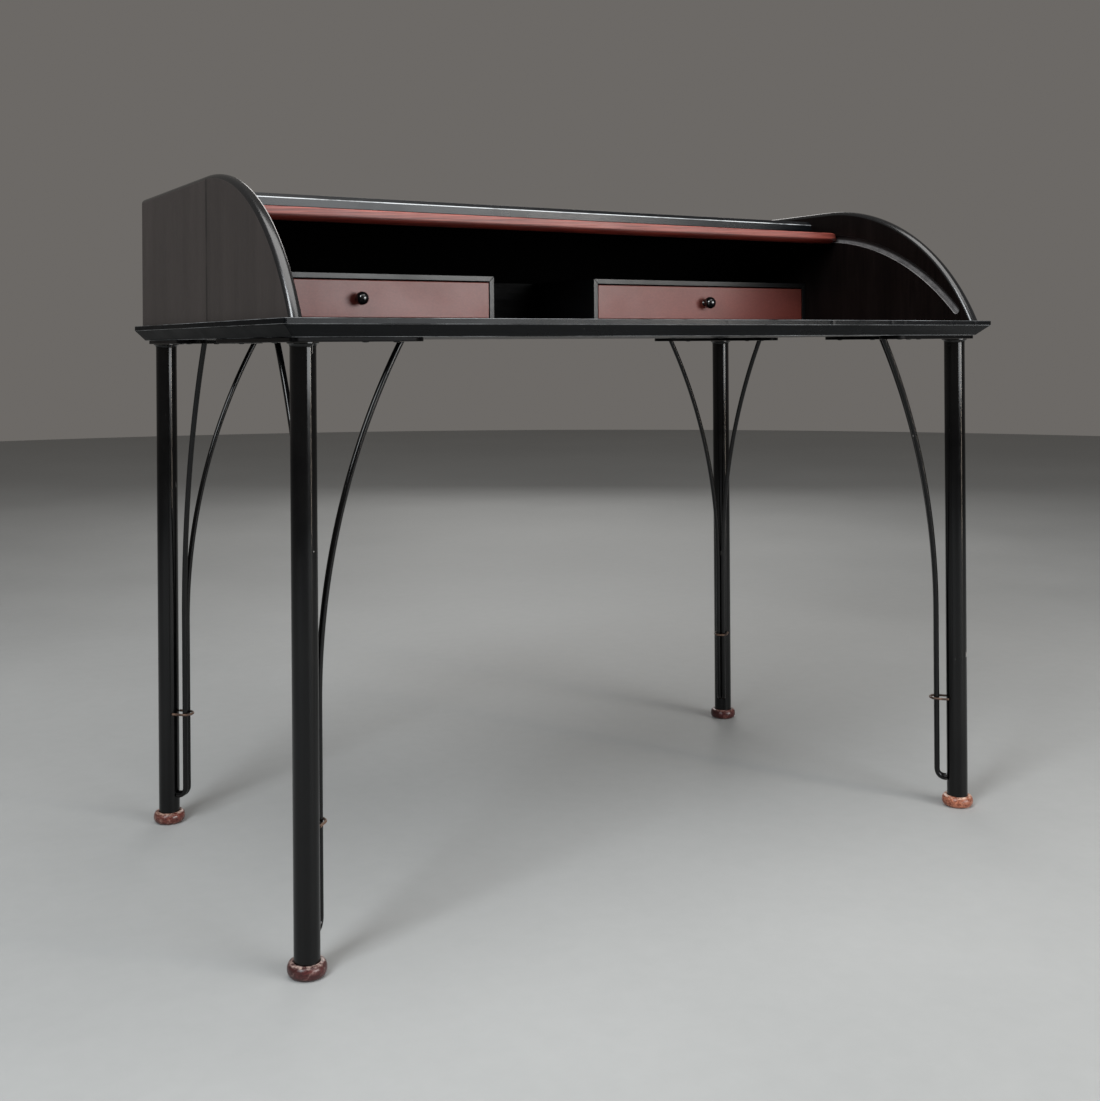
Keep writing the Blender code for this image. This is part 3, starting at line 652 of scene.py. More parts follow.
def makeBrace(corner, kind, place, material):
    # a rod that leaves the leg low down, rises beside it, then curves out to the plate
    name = f"{corner}_{kind}_brace"
    low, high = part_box(name)
    bottom = low.z + braceValues["radius"]
    near, far = ((braceValues["standOff"] + sign * braceValues["pitch"] / 2) * diagonal for sign in (-1, 1))
    bend, straightTop = braceValues["bend"], braceValues["straightTop"]
    inward = Vector((diagonal, diagonal, 0.0))
    footPoint = Vector((far, near, 0.0))
    rise = high.z - straightTop
    reach = braceValues["reach"] - far
    curve = (rise ** 2 + reach ** 2) / (2 * reach)
    sweep = math.degrees(math.asin(rise / curve))
    path = [footPoint - inward * (bend + 0.002) + Vector((0, 0, bottom))]
    for along, up in arcPoints((-bend, bottom + bend), bend, -90, 0, 14):
        path.append(footPoint + inward * along + Vector((0, 0, up)))
    for out, up in arcPoints((far + curve, straightTop), curve, 180, 180 - sweep, 44):
        path.append(Vector((out, near, up)))
    rings = tubeRings(path, braceValues["radius"], braceValues["steps"])
    rings[0] = endOnLeg(rings[0], inward)
    lead = (path[-1] - path[-2]).normalized()
    rings[-1] = [point + lead * ((high.z - point.z) / lead.z) for point in rings[-1]]
    if kind == "side":
        rings = [[Vector((p.y, p.x, p.z)) for p in ring] for ring in rings]
    rings = [[place(p) for p in ring] for ring in rings]
    addPiece(f"{name}_rod", loftMesh(rings), material, "desk", "black_steel", name, smoothDeg=50)


def makeTieRing(corner, place, material):
    inward = Vector((diagonal, diagonal, 0.0))
    across = Vector((-diagonal, diagonal, 0.0))
    half = ringValues["halfWidth"]
    start = 0.5 * legValues["radius"]
    route = [(start, half)]
    route += [(x, -y) for x, y in arcPoints((ringValues["reach"] - half, 0.0), half, -90, 90, 32)]
    route.append((start, -half))
    path = [inward * x + across * y + Vector((0, 0, ringValues["height"])) for x, y in route]
    rings = tubeRings(path, ringValues["wireRadius"], ringValues["steps"])
    for end in (0, -1):
        rings[end] = endOnLeg(rings[end], inward)
    rings = [[place(p) for p in ring] for ring in rings]
    addPiece(
        f"{corner}_tie_wire", loftMesh(rings), material, "desk", "ring_wire", f"{corner}_tie_ring",
        smoothDeg=50)


def makeStand():
    steel = makeSteel("paintedSteel", steelLook)
    wire = makeSteel("tieWire", ringLook)
    plateSteel = makeSteel("plateSteel", plateLook)
    screwSteel = makeSteel("screwSteel", screwLook)
    head = makeScrewHead()
    for side, sideSign in sides:
        for end, endSign in ends:
            corner = f"{end}_{side}"
            place = cornerPlacer(corner, sideSign, endSign)
            makeFoot(corner, makeFootStain(corner))
            makeLeg(corner, steel)
            makePlate(corner, place, endSign < 0, plateSteel)
            makePlateScrews(corner, place, endSign < 0, 0.3 * sideSign, head, screwSteel)
            for kind in ("long", "side"):
                makeBrace(corner, kind, place, steel)
            makeTieRing(corner, place, wire)
    print("stand ready")


# desk top and its moulded lipping

mouldingValues = dict(
    lipHeight=0.007, arris=0.001, bevel=0.0155, width=0.03, fullness=0.0012,
    bevelSteps=12, stationLength=0.002, dents=9, dentDepth=0.00028, seed=11,
    corner=0.0026, cornerSteps=5, smoothDeg=28,
)


def mouldingProfile(bottom, top):
    # (inset from the outer edge, height): soft arris, upright lip, small quirk, full bevel, under edge
    arris, bevel = mouldingValues["arris"], mouldingValues["bevel"]
    lipFoot = top - mouldingValues["lipHeight"]
    width = mouldingValues["width"]
    profile = [(width, top)]
    profile += [(arris + x, top - arris + z) for x, z in arcPoints(origin, arris, 90, 180, 5)]
    profile += [(0.0, lipFoot + tiny), (tiny, lipFoot), (0.001, lipFoot - 0.0003)]
    start = Vector((0.001, lipFoot - 2 * tiny))
    end = Vector((bevel, bottom + 0.0006))
    normal = Vector((start.y - end.y, start.x - end.x)).normalized()
    for i in range(mouldingValues["bevelSteps"] + 1):
        share = i / mouldingValues["bevelSteps"]
        point = start.lerp(end, share) - normal * mouldingValues["fullness"] * 4 * share * (1 - share)
        profile.append((point.x, point.y))
    return profile + [(bevel + 0.0006, bottom), (width, bottom)]


def mouldingSections(profile, length, place, bothEnds, draws):
    # place(along, across, z): along starts at the mitred corner, which is rounded over in plan;
    # a few short dents knock back the lip
    radius = mouldingValues["corner"]
    count = max(2, round(length / mouldingValues["stationLength"]))
    dents = {}
    for _ in range(round(mouldingValues["dents"] * length)):
        station = draws.randint(3, count - 4)
        depth = mouldingValues["dentDepth"] * (0.3 + 0.7 * draws.random())
        for step, share in ((-1, 0.45), (0, 1.0), (1, 0.6)):
            dents[station + step] = max(dents.get(station + step, 0.0), depth * share)
    corner = []
    for step in range(mouldingValues["cornerSteps"]):
        angle = math.radians(45 + 45 * step / mouldingValues["cornerSteps"])
        lost = radius * (1 - math.cos(angle)), radius * (1 - math.sin(angle))
        corner.append([(inset + lost[0], inset + lost[1], z) for inset, z in profile])
    sections = [[place(*point) for point in section] for section in corner]
    for i in range(count + 1):
        section = []
        for k, (inset, z) in enumerate(profile):
            low = inset + radius
            high = length - low if bothEnds else length
            knock = dents.get(i, 0.0) if 2 <= k <= 7 else 0.0  # the lip's own points
            section.append(place(low + (high - low) * i / count, inset + knock, z - 0.6 * knock))
        sections.append(section)
    if bothEnds:
        for section in reversed(corner):
            sections.append([place(length - along, across, z) for along, across, z in section])
    return sections


def rubAndHighlightEdges(piece, count, strips, material):
    # gives the faces along some edges of a lofted section the rubbed finish, which also paints highlight
    # lines
    piece.data.materials.append(material)
    for polygon in piece.data.polygons[:-2]:
        if polygon.index % count in strips:
            polygon.material_index = 1


def makeDeskTop():
    lacquerX = stainedWood("blackLacquer", topLook, "x")
    lacquerY = stainedWood("blackLacquerSides", topSideLook, "y")
    # the rubbed strips carry painted highlight lines as well as wear
    rubbed = makeRubbedEdgeAndHighlight("rubbedEdgeHighlight", rubbedHighlightLook)
    low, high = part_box("desk_top")
    addPiece("desk_top_board", boardMesh(low, high, 0.0005), lacquerX, "desk", "black_lacquer", "desk_top")
    frontLow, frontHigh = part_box("front_edge_moulding")
    halfLength = frontHigh.x
    frontY = frontLow.y
    mitre = gap / 2
    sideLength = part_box("left_edge_moulding")[1].y - frontY - mitre
    profile = mouldingProfile(frontLow.z, frontHigh.z)
    worn = {3, 4, 7, 8, len(profile) - 3}  # wear and painted highlight lines: along the top arris, under the lip and at the lower edge
    draws = random.Random(mouldingValues["seed"])

    def makeMoulding(name, length, place, bothEnds, lacquer):
        sections = mouldingSections(profile, length, place, bothEnds, draws)
        moulding = addPiece(
            f"{name}_moulding", loftMesh(sections), lacquer, "desk", "black_lacquer",
            f"{name}_edge_moulding", smoothDeg=mouldingValues["smoothDeg"])
        rubAndHighlightEdges(moulding, len(profile), worn, rubbed)

    makeMoulding(
        "front", 2 * halfLength, lambda along, across, z: (along - halfLength, frontY + across, z), True,
        lacquerX)
    for side, sign in sides:
        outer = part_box(f"{side}_edge_moulding")[0 if sign < 0 else 1].x
        makeMoulding(
            side, sideLength, lambda along, across, z: (outer - sign * across, frontY + along + mitre, z),
            False, lacquerY)
    print("desk top ready")


# side panels, cover board and backs

panelValues = dict(
    radius=0.345, tangentY=0.002, nose=0.0075, noseSteps=12, arcSteps=96,
    grooveWidth=0.0115, grooveDepth=0.008, grooveFrontDeg=47.2, grooveBackDeg=-44.2,
    grooveArris=0.0006,
)
seamValues = dict(
    y=-0.004, core=0.001, edge=0.0055, patchScale=16.0, start=0.2, end=0.5,
    dark=(0.008, 0.007, 0.0066), frontShare=0.14, frontFade=0.002,
)
# dark is painted shadow for the groove's upper half; pale and bare are the rubbed wood
grooveRubShadowValues = dict(
    dark=(0.02, 0.018, 0.018), pale=(0.085, 0.081, 0.083), bare=(0.2, 0.192, 0.192),
    scale=60.0, raggedness=0.004,
)
trackRadius = 0.4095  # of the middle of the tambour, about the hinge axis
track = next(joint for joint in frame["joints"] if joint["name"] == "tambour_track")["pos_m"]


def makePanelVeneer():
    # veneer with the dark line of the joint where the curved front begins, and a darker front leaf
    material = stainedWood("panelVeneer", veneerLook, "z")
    tree, coordinates, colour = openColour(material)
    place = coordinates["Object"]
    seamY, fade = seamValues["y"], seamValues["frontFade"]
    across = addNode(tree, "SeparateXYZ", Vector=place).outputs["Y"]
    off = calc("ABSOLUTE", calc("SUBTRACT", across, seamY))
    seam = remap(off, seamValues["core"], seamValues["edge"], 1.0, 0.0, smooth=True)
    patches = noise(place, seamValues["patchScale"], 3.0, 0.6)
    patchy = remap(patches, seamValues["start"], seamValues["end"])
    front = remap(across, seamY - fade, seamY + fade, seamValues["frontShare"], 0.0)
    darker = calc("MAXIMUM", times(seam, patchy), front)
    recolour(tree, blendColours(darker, colour, seamValues["dark"]))
    return material


def makeGrooveRubAndShadow():
    # bare lower half of the groove, polished pale by the tambour; its upper half is darkened with painted
    # shadow from the groove's outer wall
    half = panelValues["grooveWidth"] / 2
    material, tree, shader, place = newMaterial("grooveRubShadow", Specular_IOR_Level=0.4)
    axes = addNode(tree, "SeparateXYZ", Vector=place).outputs
    dy, dz = (
        calc("POWER", calc("SUBTRACT", axes[axis], middle), 2.0)
        for axis, middle in (("Y", track[1]), ("Z", track[2])))
    off = calc("SUBTRACT", calc("SQRT", calc("ADD", dy, dz)), trackRadius)
    streaky = noise(place, grooveRubShadowValues["scale"], 5.0, 0.7)
    ragged = times(calc("SUBTRACT", streaky, 0.5), grooveRubShadowValues["raggedness"])
    # upper half of the groove: painted shadow; lower half: rubbed pale
    lower = remap(calc("ADD", off, ragged), half * 0.05, -half * 0.45, smooth=True)
    pale = blendColours(remap(streaky, 0.35, 0.65), grooveRubShadowValues["pale"], grooveRubShadowValues["bare"])
    colour = blendColours(lower, grooveRubShadowValues["dark"], pale)
    finishShader(tree, shader, colour, remap(streaky, 0.3, 0.7, 0.36, 0.5), streaky, 0.0001)
    return material


def grooveOutline(spare):
    half = panelValues["grooveWidth"] / 2 + spare
    front = 90 + panelValues["grooveFrontDeg"]
    back = 90 + panelValues["grooveBackDeg"]
    centre = (track[1], track[2])
    frontEnd = arcPoints(centre, trackRadius, front, front, 1)[0]
    backEnd = arcPoints(centre, trackRadius, back, back, 1)[0]
    outline = arcPoints(centre, trackRadius + half, back, front, 120)
    outline += arcPoints(frontEnd, half, front, front + 180, 20)[1:-1]
    outline += arcPoints(centre, trackRadius - half, front, back, 120)
    outline += arcPoints(backEnd, half, back + 180, back + 360, 20)[1:-1]
    return outline


def makeSidePanel(side, sign, veneer, stain, lacquer, groove):
    low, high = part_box(f"{side}_side_panel")
    outer, inner = (low.x, high.x) if sign < 0 else (high.x, low.x)
    radius = panelValues["radius"]
    centreZ = high.z - radius
    frontDeg = 180 - math.degrees(math.asin((low.z - centreZ) / radius))
    outline = [(high.y, low.z), (high.y, high.z)]
    outline += arcPoints((panelValues["tangentY"], centreZ), radius, 90, frontDeg, panelValues["arcSteps"])
    bm = loftMesh([[(x, y, z) for y, z in outline] for x in (outer, inner)])
    rims = []
    for edge in bm.edges:
        a, b = (vert.co for vert in edge.verts)
        level = abs(a.x - b.x) < gap
        onBack = abs(a.y - high.y) < gap and abs(b.y - high.y) < gap
        onBase = abs(a.z - low.z) < gap and abs(b.z - low.z) < gap
        if level and not onBack and not onBase:
            rims.append(edge)
    bmesh.ops.bevel(
        bm, geom=rims, offset=panelValues["nose"], segments=panelValues["noseSteps"], affect="EDGES",
        profile=0.5, clamp_overlap=True)
    arris = panelValues["grooveArris"]
    steps = (
        (inner + sign * panelValues["grooveDepth"], 0.0), (inner + sign * arris, 0.0),
        (inner - sign * tiny, arris + tiny), (inner - sign * 10 * tiny, arris + tiny))
    cutter = loftMesh([[(x, y, z) for y, z in grooveOutline(spare)] for x, spare in steps])
    mesh = cutAway(bm, cutter)
    panel = addMesh(f"{side}_panel", mesh, veneer, "desk", "dark_veneer", f"{side}_side_panel", smoothDeg=30)
    for finish in (stain, lacquer, groove):
        panel.data.materials.append(finish)
    for polygon in mesh.polygons:
        corner = mesh.vertices[polygon.vertices[0]].co
        y, z = corner.y - track[1], corner.z - track[2]
        degrees = math.degrees(math.atan2(-y, z))
        inGroove = (
            abs(math.hypot(y, z) - trackRadius) < panelValues["grooveWidth"] / 2 + 2 * tiny
            and panelValues["grooveBackDeg"] - 1.5 < degrees < panelValues["grooveFrontDeg"] + 1.5
            and (polygon.center.x - inner) * sign > 0.00005)
        if inGroove:
            polygon.material_index = 3
        elif abs(polygon.normal.x) < 0.95:
            polygon.material_index = 2
        elif polygon.normal.x * sign < 0:
            polygon.material_index = 1


def makeCoverBoard():
    low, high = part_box("cover_board")
    front, top, bottom, back = low.y, high.z, low.z, high.y
    section = [(back - 0.0005, bottom), (back, bottom + 0.0005), (back, top - 0.0008), (back - 0.0008, top)]
    section += arcPoints((front + 0.0062, top - 0.0012), 0.0012, 90, 128, 4)  # into the sloped top edge
    section += arcPoints((front + 0.0016, top - 0.0066), 0.0016, 128, 180, 5)
    section += [(front, bottom + 0.0012), (front + tiny, bottom + 0.0003), (front + 0.0012, bottom)]
    sections = []
    for x, inset in ((low.x, tiny), (low.x + tiny, 0.0), (high.x - tiny, 0.0), (high.x, tiny)):
        points = insetPolygon(section, inset) if inset else section
        sections.append([(x, point[0], point[1]) for point in points])
    shelf = addPiece(
        "cover_shelf", loftMesh(sections), stainedWood("coverLacquer", coverLook, "x"), "desk",
        "black_lacquer", "cover_board", smoothDeg=25)
    slope = range(9, 14)  # the strips of the sloped edge
    # the sloped edge gets a near-white strip: a painted highlight over rubbed wear
    rubAndHighlightEdges(shelf, len(section), slope, makeRubbedEdgeAndHighlight("coverRubbedHighlightEdge", coverRubbedHighlightLook))


def makeUpperPart():
    finishes = (
        makePanelVeneer(), stainedWood("panelInnerStain", panelInnerLook, "z"),
        stainedWood("panelEdgeLacquer", noseLook, "z"), makeGrooveRubAndShadow())
    for side, sign in sides:
        makeSidePanel(side, sign, *finishes)
    makeCoverBoard()
    for node, name, arris, stain in (
            ("back_panel", "rear_panel", 0.0006, stainedWood("rearStain", rearLook, "x")),
            ("inner_back", "inner_back_panel", 0.0005, stainedWood("backStain", backLook, "x"))):
        addPiece(name, boardMesh(*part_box(node), arris), stain, "desk", "dark_veneer", node)
    print("panels and cover ready")


# drawer cases and drawers

caseValues = dict(wall=0.008, backWall=0.006, arris=0.0005, joint=0.00008, slack=0.0001)
drawerValues = dict(shadowGap=0.0006, arris=0.0012, arrisSteps=5, boxArris=0.0008)
knobValues = dict(
    neck=0.0042, flare=((0.0016, 0.0), (0.0013, 0.0006), (0.0006, 0.0011), (0.0, 0.0019)),
    ballSteps=28, steps=64, dark=(0.0035, 0.0035, 0.004), light=(0.0065, 0.006, 0.006),
)


def makeKnobGloss():
    material, tree, shader, place = newMaterial(
        "knobGloss", Specular_IOR_Level=0.5, Coat_Weight=0.6, Coat_Roughness=0.04)
    film = handled(place, {"smudgeSize": 60.0, "rough": (0.07, 0.17)})
    colour = blendColours(film["Smudge"], knobValues["dark"], knobValues["light"])
    finishShader(tree, shader, colour, film["Roughness"], noise(place, 380.0, 2.0), 0.00002)
    return material


def makeDrawerCase(side, material):
    # four boards mitred at their corners, each with a small arris, and a thin back
    low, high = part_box(f"{side}_drawer_case")
    wall, arris, slack = caseValues["wall"], caseValues["arris"], caseValues["slack"]
    outer = [(low.x, low.z), (high.x, low.z), (high.x, high.z), (low.x, high.z)]
    inner = [(low.x + wall, low.z + wall), (high.x - wall, low.z + wall),
             (high.x - wall, high.z - wall), (low.x + wall, high.z - wall)]
    boards = []
    for i in range(4):
        j = (i + 1) % 4
        outline = insetPolygon([outer[i], outer[j], inner[j], inner[i]], caseValues["joint"])
        sections = []
        for y, inset in (
                (low.y, arris), (low.y + arris * 0.35, arris * 0.35), (low.y + arris, 0.0), (high.y, 0.0)):
            sections.append([(point.x, y, point.y) for point in insetPolygon(outline, inset)])
        boards.append(loftMesh(sections))
    boards.append(boardMesh(
        (inner[0][0] + slack, high.y - caseValues["backWall"], inner[0][1] + slack),
        (inner[2][0] - slack, high.y, inner[2][1] - slack), 0.0002, 1))
    bm = bmesh.new()
    for board in boards:
        mesh = asMesh("board", board)
        bm.from_mesh(mesh)
        bpy.data.meshes.remove(mesh)
    addPiece(f"{side}_case", bm, material, "desk", "black_lacquer", f"{side}_drawer_case", smoothDeg=30)


def makeDrawer(side, frontWood, boxWood, boxWoodX, knobGloss):
    body = f"{side}_drawer"
    low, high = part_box(f"{body}_front")
    topZ = high.z - drawerValues["shadowGap"]
    outline = [(low.x, low.z), (high.x, low.z), (high.x, topZ), (low.x, topZ)]
    arris = drawerValues["arris"]
    sections = []
    for x, z in arcPoints(origin, 1.0, 0, 90, drawerValues["arrisSteps"]):  # rounded front arris
        inset = arris * (1 - z)
        sections.append([(p.x, low.y + arris * (1 - x), p.y) for p in insetPolygon(outline, inset)])
    sections.append([(x, high.y - tiny, z) for x, z in outline])
    sections.append([(p.x, high.y, p.y) for p in insetPolygon(outline, tiny)])
    addPiece(f"{side}_front_panel", loftMesh(sections), frontWood, body, "drawer_red", f"{body}_front")
    for part, wood in (
            ("outer_side", boxWood), ("inner_side", boxWood), ("back", boxWoodX), ("bottom", boxWoodX)):
        node = f"{body}_{part}"
        boxLow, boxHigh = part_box(node)
        boxArris = min(drawerValues["boxArris"], (boxHigh - boxLow)[2] / 5)
        addPiece(f"{node}_board", boardMesh(boxLow, boxHigh, boxArris), wood, body, "drawer_box", node)
    low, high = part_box(f"{body}_knob")
    radius = (high.x - low.x) / 2
    neck = knobValues["neck"]
    centre = (high.y - low.y) - radius
    neckDeg = -math.degrees(math.acos(neck / radius))
    profile = [(0.0, 0.0)] + [(neck + flare, height) for flare, height in knobValues["flare"]]
    profile += arcPoints((0.0, centre), radius, neckDeg, 87, knobValues["ballSteps"])
    profile.append((0.0, centre + radius))
    bm = turnedMesh(profile, knobValues["steps"])
    foot = Matrix.Translation(((low.x + high.x) / 2, high.y, (low.z + high.z) / 2))
    bmesh.ops.transform(bm, matrix=foot @ Matrix.Rotation(math.pi / 2, 4, "X"), verts=bm.verts)
    addPiece(f"{side}_ball_knob", bm, knobGloss, body, "black_gloss", f"{body}_knob")


def makeDrawers():
    caseLacquer = stainedWood("caseLacquer", caseLook, "x")
    woods = (
        stainedWood("drawerFrontStain", drawerLook, "x"), stainedWood("drawerBoxWood", boxLook, "y"),
        stainedWood("drawerBoxWoodCross", boxLook, "x"), makeKnobGloss())
    for side, _ in sides:
        makeDrawerCase(side, caseLacquer)
        makeDrawer(side, *woods)
    print("drawers ready")


# tambour: lead rail, slats and canvas

railValues = dict(
    deg=5.4, halfHeight=0.0095, halfDepth=0.01, arris=0.001, turn=0.0105,
    tongueFront=-0.0025, tongueHalf=0.004, tongueArris=0.0008, taper=0.018,
    heightLoss=0.0052, depthLoss=0.0072, turnLoss=0.0035, endSteps=8, shoulderGap=0.001,
    # the tint below is painted shade, multiplied into the parts of the rail that face down
    underShadeTint=(0.22, 0.085, 0.05),
)
slatValues = dict(
    count=11, firstDeg=3.95, lastDeg=-43.9, width=0.0302, halfThickness=0.00375,
    beadRise=0.0018, beadSteps=12, endInset=0.0006,
)
canvasValues = dict(
    halfLength=0.536, thickness=0.0008, rows=66, columns=40, pitch=0.0013,
    dark=(0.0007, 0.0007, 0.0007), light=(0.0022, 0.0021, 0.002),
)


def onTrack(degrees, radial=0.0, along=0.0):
    # (y, z) by the track: + radial is outwards, + along is towards the front
    angle = math.radians(degrees)
    reach = trackRadius + radial
    y = track[1] - reach * math.sin(angle) - along * math.cos(angle)
    z = track[2] + reach * math.cos(angle) - along * math.sin(angle)
    return y, z


def railSection(halfHeight, front, back, arris, turn):
    # (along, radial): a flat front that turns under at its lower edge
    points = [(back + 0.0005, halfHeight), (back, halfHeight - 0.0005), (back, -halfHeight + 0.0005)]
    points.append((back + 0.0005, -halfHeight))
    points += arcPoints((front - turn, -halfHeight + turn), turn, -90, 0, 16)
    points += arcPoints((front - arris, halfHeight - arris), arris, 0, 90, 6)
    return points


def makeRailStainWithShade():
    # red stain; the parts that face down are darkened with painted shade
    material = stainedWood("leadRailStainAndShade", railLook, "x")
    tree, coordinates, colour = openColour(material)
    # painted shade: the parts that face down get a darker, deeper red
    facing = addNode(tree, "SeparateXYZ", Vector=coordinates["Normal"]).outputs["Z"]
    under = remap(facing, 0.02, -0.34, smooth=True)
    shadedTint = blendColours(1.0, colour, railValues["underShadeTint"], "MULTIPLY")
    recolour(tree, blendColours(under, colour, shadedTint))
    return material


def makeCanvasCloth():
    material, tree, shader, place = newMaterial("canvasCloth", Specular_IOR_Level=0.02)
    threads = useGroup("weave", Vector=place, Pitch=canvasValues["pitch"])
    fuzz = noise(place, 700.0, 4.0, 0.7)
    shade = remap(calc("ADD", threads["Thread"], fuzz), 0.3, 1.6)
    colour = blendColours(shade, canvasValues["dark"], canvasValues["light"])
    finishShader(tree, shader, colour, remap(fuzz, 0.3, 0.7, 0.8, 0.98), threads["Height"], 0.0003)
    return material


def makeLeadRail(material):
    halfHeight, halfDepth = railValues["halfHeight"], railValues["halfDepth"]
    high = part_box("lead_rail")[1]
    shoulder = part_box("right_side_panel")[0].x - railValues["shoulderGap"]
    front, half, arris = railValues["tongueFront"], railValues["tongueHalf"], railValues["tongueArris"]
    tongue = railSection(half, front, -halfDepth, arris, arris)
    tip = railSection(half - tiny, front - tiny, -halfDepth + tiny, arris, arris)
    stations = [(high.x, tip), (high.x - tiny, tongue), (shoulder, tongue)]
    for i in range(railValues["endSteps"] + 1):  # the rail's end is rounded over into its shoulder
        angle = math.radians(90 * i / railValues["endSteps"])
        lost = 1 - math.sin(angle)
        section = railSection(
            halfHeight - railValues["heightLoss"] * lost, halfDepth - railValues["depthLoss"] * lost,
            -halfDepth, railValues["arris"], railValues["turn"] - railValues["turnLoss"] * lost)
        stations.append((shoulder - 0.0002 - railValues["taper"] * (1 - math.cos(angle)), section))
    stations += [(-x, section) for x, section in reversed(stations)]
    sections = []
    for x, section in stations:
        sections.append([(x, *onTrack(railValues["deg"], radial, along)) for along, radial in section])
    addPiece(
        "lead_rail_moulding", loftMesh(sections), material, "tambour", "rail_red", "lead_rail",
        smoothDeg=32)


def slatSection(inset):
    # (along, radial): flat inside, two low beads outside
    half = slatValues["width"] / 2 - inset
    under = -slatValues["halfThickness"] + inset
    base = slatValues["halfThickness"] - slatValues["beadRise"]
    points = [(half, under), (half, base)]
    for bead in (0, 1):
        for i in range(1, slatValues["beadSteps"] + 1):
            share = i / slatValues["beadSteps"]
            rise = (slatValues["beadRise"] - inset) * math.sin(math.pi * share)
            points.append((half - half * (bead + share), base + rise))
    return points + [(-half, under)]


def makeTambour():
    makeLeadRail(makeRailStainWithShade())
    slatWood = stainedWood("slatLacquer", slatLook, "x")
    cloth = makeCanvasCloth()
    count, firstDeg, lastDeg = slatValues["count"], slatValues["firstDeg"], slatValues["lastDeg"]
    edge = slatValues["endInset"]
    drop = slatValues["halfThickness"] * 0.02
    slats = []
    for i in range(count):
        node = f"slat_{i + 1:02d}"
        low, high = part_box(node)
        middleDeg = firstDeg - (firstDeg - lastDeg) / count * (i + 0.5)
        sections = []
        for x, inset in ((low.x, edge), (low.x + edge, 0.0), (high.x - edge, 0.0), (high.x, edge)):
            outline = slatSection(inset)
            sections.append([(x, *onTrack(middleDeg, radial - drop, along)) for along, radial in outline])
        slats.append(f"{node}_strip")
        addPiece(slats[-1], loftMesh(sections), slatWood, "tambour", "slat_black", node, smoothDeg=32)

    # the canvas is one stretched strip, glued under the slats
    reach = trackRadius - slatValues["halfThickness"] - 2 * gap
    half, columns = canvasValues["halfLength"], canvasValues["columns"]
    centre = (track[1], track[2])
    bm = bmesh.new()
    rows = []
    for y, z in arcPoints(centre, reach, 90 + firstDeg, 90 + lastDeg, canvasValues["rows"]):
        rows.append([bm.verts.new((-half + 2 * half * k / columns, y, z)) for k in range(columns + 1)])
    for row, nextRow in zip(rows, rows[1:]):
        for k in range(columns):
            bm.faces.new((row[k], row[k + 1], nextRow[k + 1], nextRow[k]))
    canvas = addPiece("canvas_strip", bm, cloth, "tambour", "canvas", "canvas_backing", smoothDeg=60)
    face = canvas.data.polygons[0]
    outwards = face.normal.dot(face.center - Vector((0.0, *centre))) > 0
    solid = canvas.modifiers.new("cloth", "SOLIDIFY")
    solid.thickness = canvasValues["thickness"]
    solid.offset = -1.0 if outwards else 1.0


# studio

cameraValues = dict(
    place=(-1.0844, -1.6872, 0.7168), yaw=0.5217, roll=0.0068, lens=42.775,
    shiftX=0.0454, shiftY=-0.1867,
)
studioValues = dict(
    floorRadius=9.0, floorSteps=180, floorDark=(0.35, 0.358, 0.357),
    floorLight=(0.406, 0.414, 0.412), air=(0.15, 0.141, 0.132), airStrength=1.0,
)
lightValues = {  # place, target, size, watts and colour
    "windowLight": ((-2.6, -1.4, 2.35), (0.0, -0.1, 0.6), (1.0, 2.0), 84.0, (0.93, 0.97, 1.0)),
    "frontLight": ((1.5, -3.6, 1.3), (0.0, 0.0, 0.8), (2.4, 1.6), 105.0, (0.95, 0.98, 1.0)),
    "doorLight": ((1.5, -2.25, 1.0), (0.0, -0.2, 0.5), (0.05, 1.9), 10.0, (1.0, 0.84, 0.68)),
    "backLight": ((2.1, 3.3, 2.0), (0.0, 0.2, 0.6), (2.0, 2.0), 28.0, (1.0, 0.98, 0.96)),
    "topLight": ((-0.2, -0.7, 3.1), (0.0, -0.1, 0.5), (2.8, 2.2), 62.0, (1.0, 0.99, 0.98)),
}


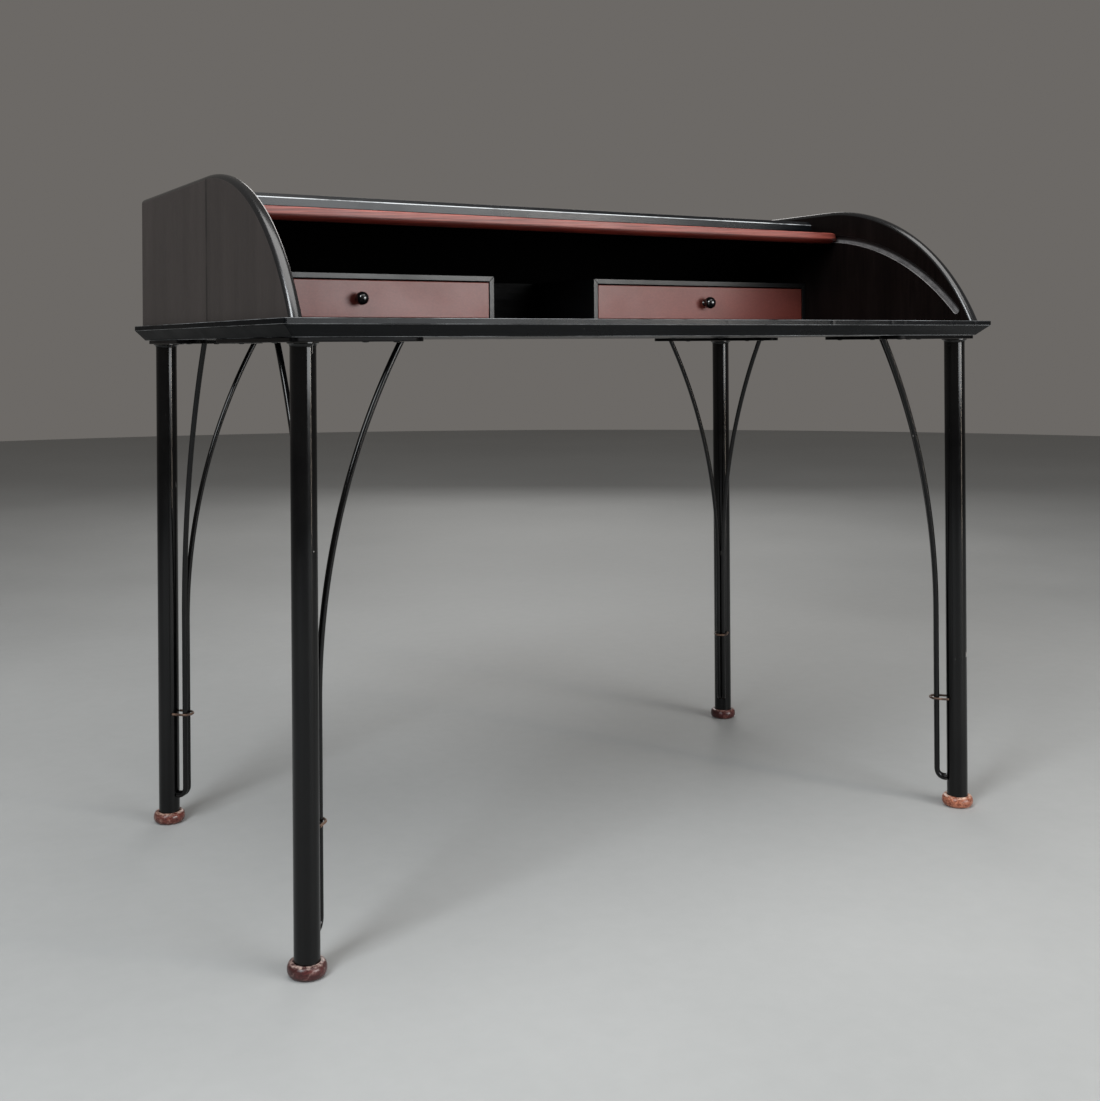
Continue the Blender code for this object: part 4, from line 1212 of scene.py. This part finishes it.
def makeCamera():
    camera = bpy.data.cameras.new("camera")
    camera.lens = cameraValues["lens"]
    camera.shift_x = cameraValues["shiftX"]
    camera.shift_y = cameraValues["shiftY"]
    yaw, roll = cameraValues["yaw"], cameraValues["roll"]
    forward = Vector((math.sin(yaw), math.cos(yaw), 0.0))
    level = Vector((math.cos(yaw), -math.sin(yaw), 0.0))
    right = (level * math.cos(roll) - Vector((0, 0, 1)) * math.sin(roll)).normalized()
    turn = Matrix((right, right.cross(forward), -forward)).transposed()
    holder = inScene("camera", camera)
    holder.matrix_world = Matrix.Translation(cameraValues["place"]) @ turn.to_4x4()
    bpy.context.scene.camera = holder


def makeFloorPaint():
    material, tree, shader, place = newMaterial("floorPaint", Specular_IOR_Level=0.2)
    broad = noise(place, 0.9, 5.0, 0.6)
    fine = noise(place, 34.0, 4.0, 0.6)
    shade = remap(calc("ADD", broad, times(fine, 0.25)), 0.4, 0.85)
    colour = blendColours(shade, studioValues["floorDark"], studioValues["floorLight"])
    finishShader(tree, shader, colour, remap(broad, 0.3, 0.7, 0.55, 0.7), fine, 0.0004)
    return material


def makeStudio():
    bm = bmesh.new()
    bmesh.ops.create_circle(
        bm, cap_ends=True, radius=studioValues["floorRadius"], segments=studioValues["floorSteps"])
    floor = inScene("floor", asMesh("floor", bm))
    floor.data.materials.append(makeFloorPaint())
    world = bpy.data.worlds.new("studio")
    world.use_nodes = True
    background = world.node_tree.nodes["Background"]
    background.inputs["Color"].default_value = (*studioValues["air"], 1)
    background.inputs["Strength"].default_value = studioValues["airStrength"]
    bpy.context.scene.world = world
    bpy.context.scene.view_settings.view_transform = "Standard"
    for name, (place, target, size, watts, colour) in lightValues.items():
        light = bpy.data.lights.new(name, "AREA")
        light.shape = "RECTANGLE"
        light.size, light.size_y = size
        light.energy = watts
        light.color = colour
        lamp = inScene(name, light)
        lamp.location = place
        lamp.rotation_euler = (Vector(target) - Vector(place)).to_track_quat("-Z", "Y").to_euler()
        lamp.visible_camera = False
    print("studio ready")


makeCamera()
makeStand()
makeDeskTop()
makeUpperPart()
makeDrawers()
makeTambour()
makeStudio()
